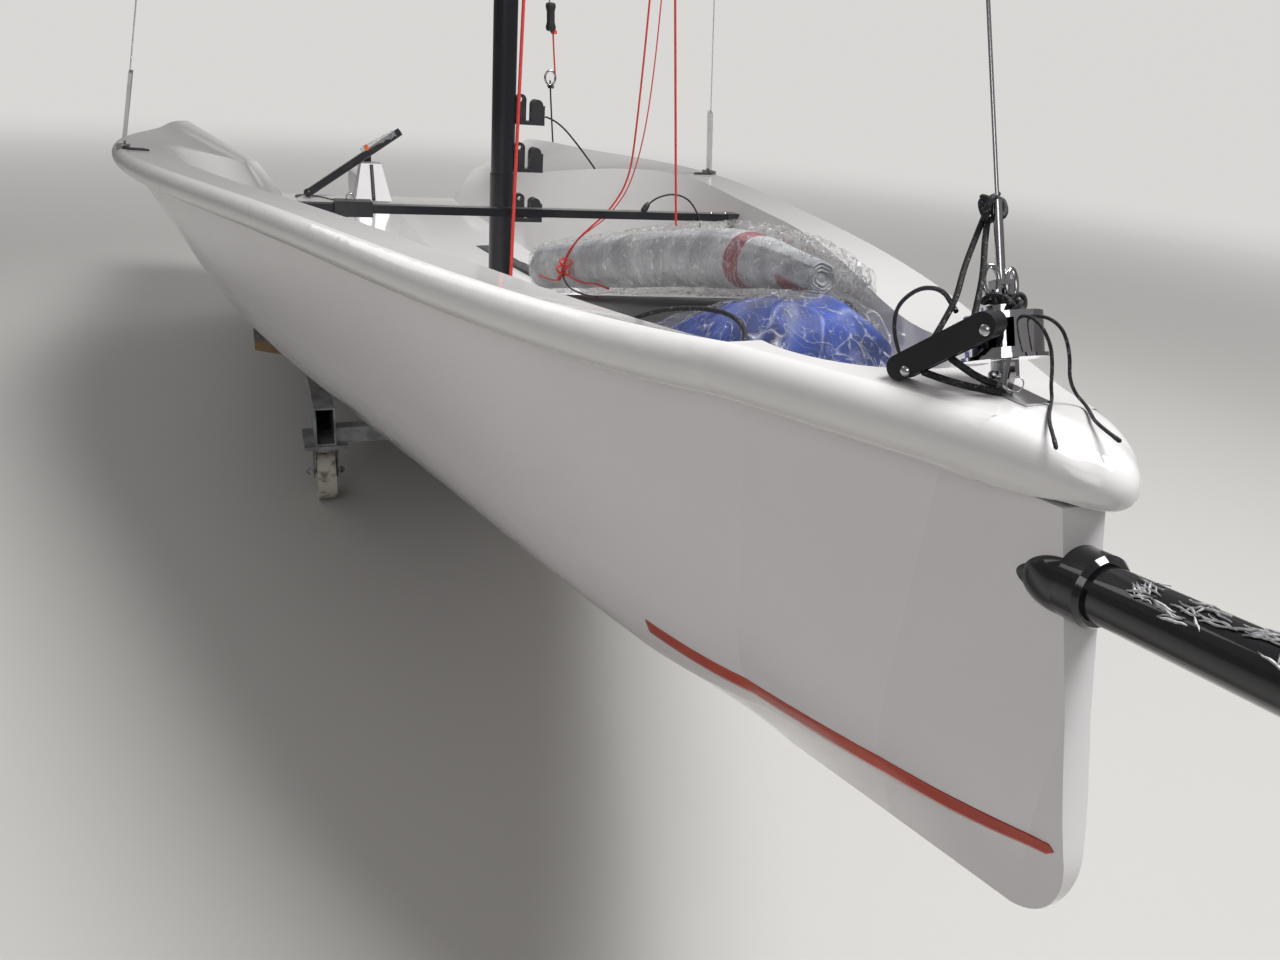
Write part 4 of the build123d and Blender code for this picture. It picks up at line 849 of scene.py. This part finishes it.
# Straps, columns name, first end, last end
STRAPS = [("port_forward", (-1.150, 0.274), (-0.400, 0.412)),
          ("starboard_aft", (-1.423, -0.054), (-0.708, 0.115))]
LONG_STEPS, CROSS_STEPS, SEAM_EVERY = 90, 14, 15
for name, first, last in STRAPS:
    first, last = Vector((*first, 0)), Vector((*last, 0))
    run_length = (last - first).length
    way = (last - first).normalized()
    across = Vector((-way.y, way.x, 0))
    for part, start_share, end_share, width, thick_here, finish in (
            ("webbing", 0.0, 1.0, STRAP_WIDTH, STRAP_THICK, webbing),
            ("sleeve", 0.16, 0.80, SLEEVE_WIDTH, SLEEVE_THICK, pad_grey)):
        mesh = bmesh.new()
        rings = []
        for step in range(LONG_STEPS + 1):
            share = start_share + (end_share - start_share) * step / LONG_STEPS
            middle = first + way * run_length * share
            tilt = 0.10 * noise.noise(Vector((share * 4.0, first.y * 9, 1.5)))
            lift = 0.0020 * noise.noise(Vector((share * 9.0, 3.3, first.x)))
            seam = end_fall = 1.0
            if part == "sleeve":
                from_seam = abs((step % SEAM_EVERY) - SEAM_EVERY / 2)
                seam -= 0.35 * max(0, 1 - from_seam * 4 / (SEAM_EVERY / 2) + 2.8) * 0.3
                end_fall = min(1.0, 0.35 + min(step, LONG_STEPS - step) / 4.0)
            ring = []
            for turn_step in range(CROSS_STEPS):
                angle = 2 * math.pi * turn_step / CROSS_STEPS
                side_share = math.copysign(abs(math.cos(angle)) ** 0.35, math.cos(angle)) / 2
                rise_share = math.copysign(abs(math.sin(angle)) ** 0.7, math.sin(angle)) / 2
                offset = across * (side_share * width)
                height = (STRAP_BASE + lift + tilt * side_share * width
                          + rise_share * thick_here * end_fall * seam)
                ring.append(mesh.verts.new(middle + offset + Vector((0, 0, height))))
            rings.append(ring)
        skin(mesh, rings)
        piece = put_piece(f"strap_{name}_{part}", mesh, finish, sharp=50)
        if part == "webbing":
            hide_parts("hiking_straps")
    place = first + way * run_length * 0.90 + Vector((0, 0, STRAP_BASE + 0.003))
    for number, shift in enumerate((-0.012, 0.0, 0.012)):
        bar = [place + way * shift - across * 0.028, place + way * shift + Vector((0, 0, 0.0012)),
               place + way * shift + across * 0.028]
        rope_run(f"strap_{name}_buckle_bar_{number}", bar, 0.0040, black_nylon)
    ring_piece(f"strap_{name}_buckle_frame", place, across, way, 0.036, 0.066, 0.0042, black_nylon)

# Sail roll: white sailcloth rolled on itself, a few turns showing at the forward end, with a maroon
# luff band and corner patch. It lies in a clear film bag that is gathered and flattened forward.
ROLL_ROWS = [(0.040, 0.245, 0.591, 0.066), (0.660, 0.262, 0.741, 0.064), (1.170, 0.246, 0.853, 0.056),
             (1.598, 0.182, 0.910, 0.022)]
ROLL_ACROSS, ROLL_RISE = Vector((0, 1, 0)), Vector((-0.2334, 0, 0.9724))


def along_rows(rows, x):
    """Centre and radius at x on a smooth line through the rows."""
    for number, (low_row, high_row) in enumerate(zip(rows, rows[1:])):
        if x <= high_row[0] or number == len(rows) - 2:
            share = (x - low_row[0]) / (high_row[0] - low_row[0])
            before, after = rows[max(number - 1, 0)], rows[min(number + 2, len(rows) - 1)]
            values = []
            for column in range(1, 4):
                slope_low = (high_row[column] - before[column]) / (high_row[0] - before[0])
                slope_high = (after[column] - low_row[column]) / (after[0] - low_row[0])
                reach = high_row[0] - low_row[0]
                values.append((2 * share ** 3 - 3 * share ** 2 + 1) * low_row[column]
                              + (share ** 3 - 2 * share ** 2 + share) * reach * slope_low
                              + (-2 * share ** 3 + 3 * share ** 2) * high_row[column]
                              + (share ** 3 - share ** 2) * reach * slope_high)
            return Vector((x, values[0], values[1])), values[2]
    return None


def worked(tree, operation, first, second=0.0):
    """The output of a maths node on a socket, with another socket or a number."""
    node = tree.nodes.new("ShaderNodeMath")
    node.operation = operation
    tree.links.new(first, node.inputs[0])
    if isinstance(second, float):
        node.inputs[1].default_value = second
    else:
        tree.links.new(second, node.inputs[1])
    return node.outputs[0]


def ramp(tree, value, none_at, full_at):
    """The output of a node that goes from 0 to 1 between two values of a socket."""
    node = tree.nodes.new("ShaderNodeMapRange")
    node.inputs["From Min"].default_value = none_at
    node.inputs["From Max"].default_value = full_at
    tree.links.new(value, node.inputs["Value"])
    return node.outputs["Result"]


# Maroon bands, columns middle, half width, soft edge. The second one is a patch under a height.
CLOTH_BANDS = ((1.232, 0.027, 0.002), (1.440, 0.040, 0.006))
PATCH_TOP, PATCH_FULL = 0.884, 0.878


def banded_cloth():
    """Sailcloth with soft painted shade in random patches and maroon bands, placed by distance along the
    boat.
    """
    # The darker of the cloth's two greys is painted shade, laid in noise patches.
    finish = mottled("sail_cloth", (0.50, 0.51, 0.53), (0.30, 0.31, 0.33), 16, 900, 0.45, 0.7, 0.0006,
                     low=0.40, high=0.62)
    tree = finish.node_tree
    nodes, links = tree.nodes, tree.links
    shader, uneven = nodes["Principled BSDF"], nodes["uneven"]
    place = nodes.new("ShaderNodeTexCoord")
    parts = nodes.new("ShaderNodeSeparateXYZ")
    links.new(place.outputs["Object"], parts.inputs["Vector"])
    masks = []
    for middle, half, soft in CLOTH_BANDS:
        away = worked(tree, "SUBTRACT", parts.outputs["X"], middle)
        masks.append(ramp(tree, worked(tree, "ABSOLUTE", away), half + soft, half))
    patch = worked(tree, "MULTIPLY", masks[1], ramp(tree, parts.outputs["Z"], PATCH_TOP, PATCH_FULL))
    both = worked(tree, "MAXIMUM", masks[0], patch)
    paint = nodes.new("ShaderNodeMix")
    paint.data_type = "RGBA"
    paint.inputs[7].default_value = (0.26, 0.055, 0.075, 1)
    links.new(both, paint.inputs["Factor"])
    links.new(uneven.outputs["Color"], paint.inputs[6])
    links.new(paint.outputs[2], shader.inputs["Base Color"])
    return finish


sailcloth = banded_cloth()
ROLL_STEPS, ROLL_SIDES, CLOTH_INSET = 170, 64, 0.0065
ROLL_FIRST, ROLL_LAST = 0.046, 1.500
TURN_DEPTH, TURN_SPACING, TIGHT_FROM = 0.0011, 0.024, 1.15
# Turns that show at the ends, columns share of the radius, depth
END_TURNS = [(0.90, 0.004), (0.80, 0.001), (0.70, 0.004), (0.58, 0.001), (0.46, 0.004), (0.32, 0.001),
             (0.16, 0.002)]
mesh = bmesh.new()
rings = []
for step in range(ROLL_STEPS + 1):
    x = ROLL_FIRST + (ROLL_LAST - ROLL_FIRST) * step / ROLL_STEPS
    centre, radius = along_rows(ROLL_ROWS, x)
    radius -= CLOTH_INSET
    ring = []
    for side in range(ROLL_SIDES):
        angle = 2 * math.pi * side / ROLL_SIDES
        ribs = TURN_DEPTH * math.sin(x * 2 * math.pi / TURN_SPACING + 1.2 * math.sin(angle * 2))
        ribs *= 1 if x < TIGHT_FROM else 0.4
        soft_folds = 0.0030 * noise.noise(Vector((x * 7, math.cos(angle) * 1.4, math.sin(angle) * 1.4)))
        lap = 0.0022 * ((angle / (2 * math.pi) + 0.62) % 1.0 - 0.5)
        reach = radius + ribs + soft_folds + lap - 0.002
        ring.append(mesh.verts.new(centre + ROLL_ACROSS * (reach * math.cos(angle))
                                   + ROLL_RISE * (reach * math.sin(angle))))
    rings.append(ring)
skin(mesh, rings, capped=False)
for ring, direction in ((rings[0], -1), (rings[-1], 1)):
    centre = sum((vertex.co for vertex in ring), Vector()) / ROLL_SIDES
    inner_ring = ring
    for share, depth in END_TURNS:
        next_ring = [mesh.verts.new(centre + (vertex.co - centre) * share
                                    + Vector((direction * depth, 0, 0))) for vertex in ring]
        skin(mesh, [inner_ring, next_ring], capped=False)
        inner_ring = next_ring
    mesh.faces.new(inner_ring)
rolled = put_piece("sail_roll_cloth", mesh, sailcloth, sharp=50)
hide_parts("sail_roll")


# How far the noise may be from its middle value on a crease
CREASE_WIDTH = 0.024


def creases_and_highlights_group():
    """Fine pulled creases of clear film: a mask, high along the creases and low between them, for their
    relief and for a white highlight painted along them.
    """
    group = bpy.data.node_groups.new("film_creases_and_highlights", "ShaderNodeTree")
    for name in ("Scale", "Thin", "Full"):
        socket(group, name, "INPUT", "NodeSocketFloat")
    for name in ("Alpha", "Height"):
        socket(group, name, "OUTPUT", "NodeSocketFloat")
    nodes, links = group.nodes, group.links
    given, made = nodes.new("NodeGroupInput"), nodes.new("NodeGroupOutput")
    place = nodes.new("ShaderNodeTexCoord")
    lines = []
    for finer in (1.0, 2.3):
        crumple = nodes.new("ShaderNodeTexNoise")
        crumple.inputs["Detail"].default_value = 2.0
        crumple.inputs["Distortion"].default_value = 0.7
        links.new(place.outputs["Object"], crumple.inputs["Vector"])
        links.new(worked(group, "MULTIPLY", given.outputs["Scale"], finer), crumple.inputs["Scale"])
        away = worked(group, "SUBTRACT", crumple.outputs["Fac"], 0.5)
        lines.append(ramp(group, worked(group, "ABSOLUTE", away), CREASE_WIDTH, 0.0))
    crease_and_highlight = worked(group, "MAXIMUM", lines[0], lines[1])
    veil = nodes.new("ShaderNodeMapRange")
    links.new(crease_and_highlight, veil.inputs["Value"])
    links.new(given.outputs["Thin"], veil.inputs["To Min"])
    links.new(given.outputs["Full"], veil.inputs["To Max"])
    links.new(veil.outputs["Result"], made.inputs["Alpha"])
    links.new(crease_and_highlight, made.inputs["Height"])
    return group


CREASES_AND_HIGHLIGHTS = creases_and_highlights_group()


def clear_film(name, color, scale, thin, full):
    """Glossy packing film, clear between its creases, with a milky highlight painted along them."""
    finish = bpy.data.materials.new(name)
    finish.use_nodes = True
    nodes, links = finish.node_tree.nodes, finish.node_tree.links
    shader = nodes["Principled BSDF"]
    shader.inputs["Base Color"].default_value = (*color, 1)
    shader.inputs["Roughness"].default_value = 0.09
    shader.inputs["Specular IOR Level"].default_value = 0.8
    crease_and_highlight = nodes.new("ShaderNodeGroup")
    crease_and_highlight.node_tree = CREASES_AND_HIGHLIGHTS
    for key, value in (("Scale", scale), ("Thin", thin), ("Full", full)):
        crease_and_highlight.inputs[key].default_value = value
    bump = nodes.new("ShaderNodeBump")
    bump.inputs["Distance"].default_value = 0.006
    bump.inputs["Strength"].default_value = 0.9
    links.new(crease_and_highlight.outputs["Alpha"], shader.inputs["Alpha"])
    links.new(crease_and_highlight.outputs["Height"], bump.inputs["Height"])
    links.new(bump.outputs["Normal"], shader.inputs["Normal"])
    return finish


# The film's white along its creases is a painted highlight.
roll_film = clear_film("roll_film", (0.82, 0.82, 0.82), 17, 0.10, 0.70)
FILM_STEPS, FILM_SIDES, FILM_FIRST, FILM_LAST = 190, 84, 0.030, 1.640
# Film shape, columns distance forward, centre sideways, centre height, half width, half height
FILM_ROWS = [(0.030, 0.245, 0.588, 0.050, 0.050), (0.075, 0.247, 0.600, 0.067, 0.067),
             (0.660, 0.262, 0.741, 0.066, 0.066), (0.900, 0.259, 0.798, 0.064, 0.064),
             (1.060, 0.250, 0.831, 0.056, 0.060), (1.170, 0.246, 0.853, 0.058, 0.061),
             (1.330, 0.228, 0.880, 0.052, 0.055), (1.470, 0.206, 0.898, 0.040, 0.045),
             (1.560, 0.190, 0.910, 0.020, 0.035), (1.600, 0.186, 0.915, 0.009, 0.026),
             (1.640, 0.184, 0.921, 0.004, 0.016)]
# Half width under which the folds fade out
FADE_WIDTH = 0.03


def film_point(x, angle):
    """A point of the film bag: a soft oval about the roll, with folds that run across and forward."""
    side_y, height, half_width, half_height = between(FILM_ROWS, x)[1:]
    over, above = math.cos(angle), math.sin(angle)
    pull = noise.noise(Vector((x * 9 + above * 1.2, over * 1.8, above * 1.8)))
    crumple = noise.noise(Vector((x * 30, over * 4, above * 4)) + Vector((2, 5, 1)))
    ridge = 1 - abs(2 * noise.noise(Vector((x * 14 - above * 2, over * 2.2, 7))))
    wrinkle = 1 - abs(2 * noise.noise(Vector((x * 34 + over * 5, over * 5, above * 5))))
    lift = 0.0034 * pull + 0.0016 * crumple + 0.0050 * max(ridge, 0) ** 3 + 0.0030 * max(wrinkle, 0) ** 4
    lift *= min(1.0, half_width / FADE_WIDTH)
    return (Vector((x, side_y, height)) + ROLL_ACROSS * ((half_width + lift) * over)
            + ROLL_RISE * ((half_height + lift) * above))


mesh = bmesh.new()
rings = []
for step in range(FILM_STEPS + 1):
    x = FILM_FIRST + (FILM_LAST - FILM_FIRST) * step / FILM_STEPS
    rings.append([mesh.verts.new(film_point(x, 2 * math.pi * side / FILM_SIDES))
                  for side in range(FILM_SIDES)])
skin(mesh, rings, capped=False)
film_bag = put_piece("sail_roll_film", mesh, roll_film, sharp=50)
knot("roll_tie", (0.383, 0.182, 0.657), 0.024, 0.0058, red_braid, axis=(0.2, -0.9, 0.5), squeeze=0.5)
knot("roll_tie_turns", (0.398, 0.184, 0.680), 0.016, 0.0050, red_braid, axis=(0.6, -0.7, 0.2), squeeze=0.7)

# Sail bag: royal blue nylon, soft and part filled, packed in a crumpled clear film bag with
# a milky highlight painted along its creases.
BAG_CENTRE = Vector((1.610, 0.005, 0.7773))
BAG_TREE = surface_of("sail_bag")
# The film's gathered end stands out of the bag by this much
EAR_LENGTH = 0.036
blue_nylon = mottled("bag_blue", (0.014, 0.055, 0.33), (0.004, 0.014, 0.09), 14, 900, 0.35, 0.6, 0.0005,
                     low=0.38, high=0.62)


def bag_mesh(extra, fold_depth, crumple_depth, steps_round, steps_long, seed):
    """A soft form with pulled folds, as large as the bag is and tilted as it lies on the bow's slope."""
    shell = bmesh.new()
    rows = []
    for row in range(steps_long + 1):
        polar = math.pi * row / steps_long
        ring = []
        for column in range(steps_round):
            angle = 2 * math.pi * column / steps_round
            ball = Vector((math.cos(polar), math.sin(polar) * math.cos(angle),
                           math.sin(polar) * math.sin(angle)))
            way = Vector((ball.x * 2.2, ball.y, ball.z + 0.9 * ball.x)).normalized()
            ear = EAR_LENGTH * max((ball.x - 0.86) / 0.14, 0) ** 2 if extra > 0 else 0.0
            shape = BAG_TREE.ray_cast(BAG_CENTRE + way * 0.6, -way)[0] - BAG_CENTRE
            fold = 1 - abs(2 * noise.noise(Vector((shape.x * 9 + seed, shape.y * 15, shape.z * 13))))
            crumple = noise.noise(Vector((shape.x * 38, shape.y * 38 + seed, shape.z * 38)))
            push_out = extra - fold_depth * (1 - max(fold, 0)) + crumple_depth * crumple
            ring.append(shell.verts.new(BAG_CENTRE + shape + way * push_out + Vector((ear, 0, -0.2 * ear))))
            if row in (0, steps_long):
                break
        rows.append(ring)
    for before, after in zip(rows, rows[1:]):
        for column in range(steps_round):
            following = (column + 1) % steps_round
            corners = [before[column % len(before)], before[following % len(before)],
                       after[following % len(after)], after[column % len(after)]]
            unique = list(dict.fromkeys(corners))
            if len(unique) > 2:
                shell.faces.new(unique)
    return shell


stuffed = put_piece("sail_bag_cloth", bag_mesh(-0.003, 0.020, 0.0020, 120, 110, 2.0), blue_nylon, sharp=80)
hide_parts("sail_bag")
# The film's pale white along its creases is a painted highlight.
bag_film = clear_film("bag_film", (0.80, 0.82, 0.88), 22, 0.04, 0.50)
wrapped = put_piece("sail_bag_film", bag_mesh(0.0040, 0.007, 0.0050, 130, 120, 9.0), bag_film, sharp=50)

# Cradle: welded steel with a dull zinc coat, carpeted wooden chocks, and four castors with
# nylon wheels that have picked up floor dirt. Each castor plate has four bolt heads.
zinc = mottled("zinc_grey", (0.40, 0.41, 0.42), (0.24, 0.25, 0.26), 22, 500, 0.38, 0.6, 0.0003, metallic=0.6,
               low=0.40, high=0.62)
for node in ("cradle_frame", "castor_plates"):
    dress(node, zinc)
chock_wood = mottled("chock_wood", (0.30, 0.20, 0.11), (0.18, 0.11, 0.06), 18, 300, 0.6, 0.8, 0.0005)
dress("cradle_chocks", chock_wood)
carpet = mottled("pad_carpet", (0.17, 0.17, 0.18), (0.08, 0.08, 0.09), 90, 1800, 0.85, 1.0, 0.002)
dress("cradle_pads", carpet)
nylon = mottled("wheel_nylon", (0.66, 0.63, 0.55), (0.26, 0.23, 0.19), 34, 400, 0.35, 0.65, 0.0004,
                low=0.50, high=0.66)
NUT_PROFILE = [(0.0095, -0.001), (0.0095, 0.0050), (0.0080, 0.0065), (0.0050, 0.0068), (0.0050, 0.0100),
               (0.0035, 0.0110)]
for end in ("front", "rear"):
    for side in ("port", "starboard"):
        dress(f"castor_fork_{end}_{side}", zinc)
        dress(f"castor_wheel_{end}_{side}", nylon)
        fork_low, fork_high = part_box(f"castor_fork_{end}_{side}")
        wheel_low, wheel_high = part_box(f"castor_wheel_{end}_{side}")
        wheel_middle = [(wheel_low[axis] + wheel_high[axis]) / 2 for axis in range(3)]
        for face_side, face_name in ((-1, "starboard"), (1, "port")):
            face_y = fork_high[1] if face_side > 0 else fork_low[1]
            nut = lathe(f"axle_nut_{end}_{side}_{face_name}", NUT_PROFILE,
                        (wheel_middle[0], face_y, wheel_middle[2]), (0, face_side, 0), zinc,
                        body=f"castor_{end}_{side}", steps=6)
plate_low, plate_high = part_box("castor_plates")
BOLT_INSET = 0.011
BOLT_PROFILE = [(0.0062, 0.0), (0.0062, 0.0030), (0.0052, 0.0038), (0.0020, 0.0038)]
PLATE_LONG, PLATE_WIDE = 0.105, 0.085
for end, middle_x in (("front", plate_high[0] - PLATE_LONG / 2), ("rear", plate_low[0] + PLATE_LONG / 2)):
    for side, middle_y in (("port", plate_high[1] - PLATE_WIDE / 2),
                           ("starboard", plate_low[1] + PLATE_WIDE / 2)):
        for number, (long_way, wide_way) in enumerate(((-1, -1), (-1, 1), (1, -1), (1, 1))):
            spot = (middle_x + long_way * (PLATE_LONG / 2 - BOLT_INSET),
                    middle_y + wide_way * (PLATE_WIDE / 2 - BOLT_INSET), plate_low[2])
            bolt = lathe(f"plate_bolt_{end}_{side}_{number}", BOLT_PROFILE, spot, (0, 0, -1), zinc,
                         steps=6)

# Tiller: its tube still has packing film on it, crumpled and loose, and a turn of orange tape
# near the film's lower end.
# The film's white along its creases is a painted highlight.
tiller_film = clear_film("tiller_film", (0.74, 0.74, 0.76), 40, 0.25, 0.8)
TILLER_FIRST, TILLER_LAST = Vector((-2.030, -0.036, 0.659)), Vector((-2.035, 0.113, 0.744))
sleeve_way = (TILLER_LAST - TILLER_FIRST).normalized()
mesh = bmesh.new()
rings = []
SLEEVE_STEPS, SLEEVE_SIDES, SLEEVE_RADIUS, SLEEVE_CRUMPLE = 40, 24, 0.0185, 0.0030
sleeve_turn = sleeve_way.to_track_quat("Z", "Y").to_matrix()
for step in range(SLEEVE_STEPS + 1):
    share = step / SLEEVE_STEPS
    ring = []
    for side in range(SLEEVE_SIDES):
        angle = 2 * math.pi * side / SLEEVE_SIDES
        rough_place = Vector((share * 9, math.cos(angle) * 2, math.sin(angle) * 2))
        reach = SLEEVE_RADIUS + SLEEVE_CRUMPLE * noise.noise(rough_place)
        spot = Vector((reach * math.cos(angle), reach * math.sin(angle), 0))
        ring.append(mesh.verts.new(TILLER_FIRST.lerp(TILLER_LAST, share) + sleeve_turn @ spot))
    rings.append(ring)
skin(mesh, rings, capped=False)
sleeve = put_piece("tiller_film_sleeve", mesh, tiller_film, body="rudder", sharp=75)
orange_tape = mottled("orange_tape", (0.62, 0.11, 0.03), (0.52, 0.08, 0.02), 60, 500, 0.35, 0.5, 0.0002)
TAPE_PROFILE = [(0.0170, -0.009), (0.0200, -0.008), (0.0203, 0.0), (0.0200, 0.008), (0.0170, 0.009)]
TAPE_SHARE = 0.16
tape = lathe("tiller_tape", TAPE_PROFILE, TILLER_FIRST.lerp(TILLER_LAST, TAPE_SHARE), sleeve_way,
             orange_tape, body="rudder")
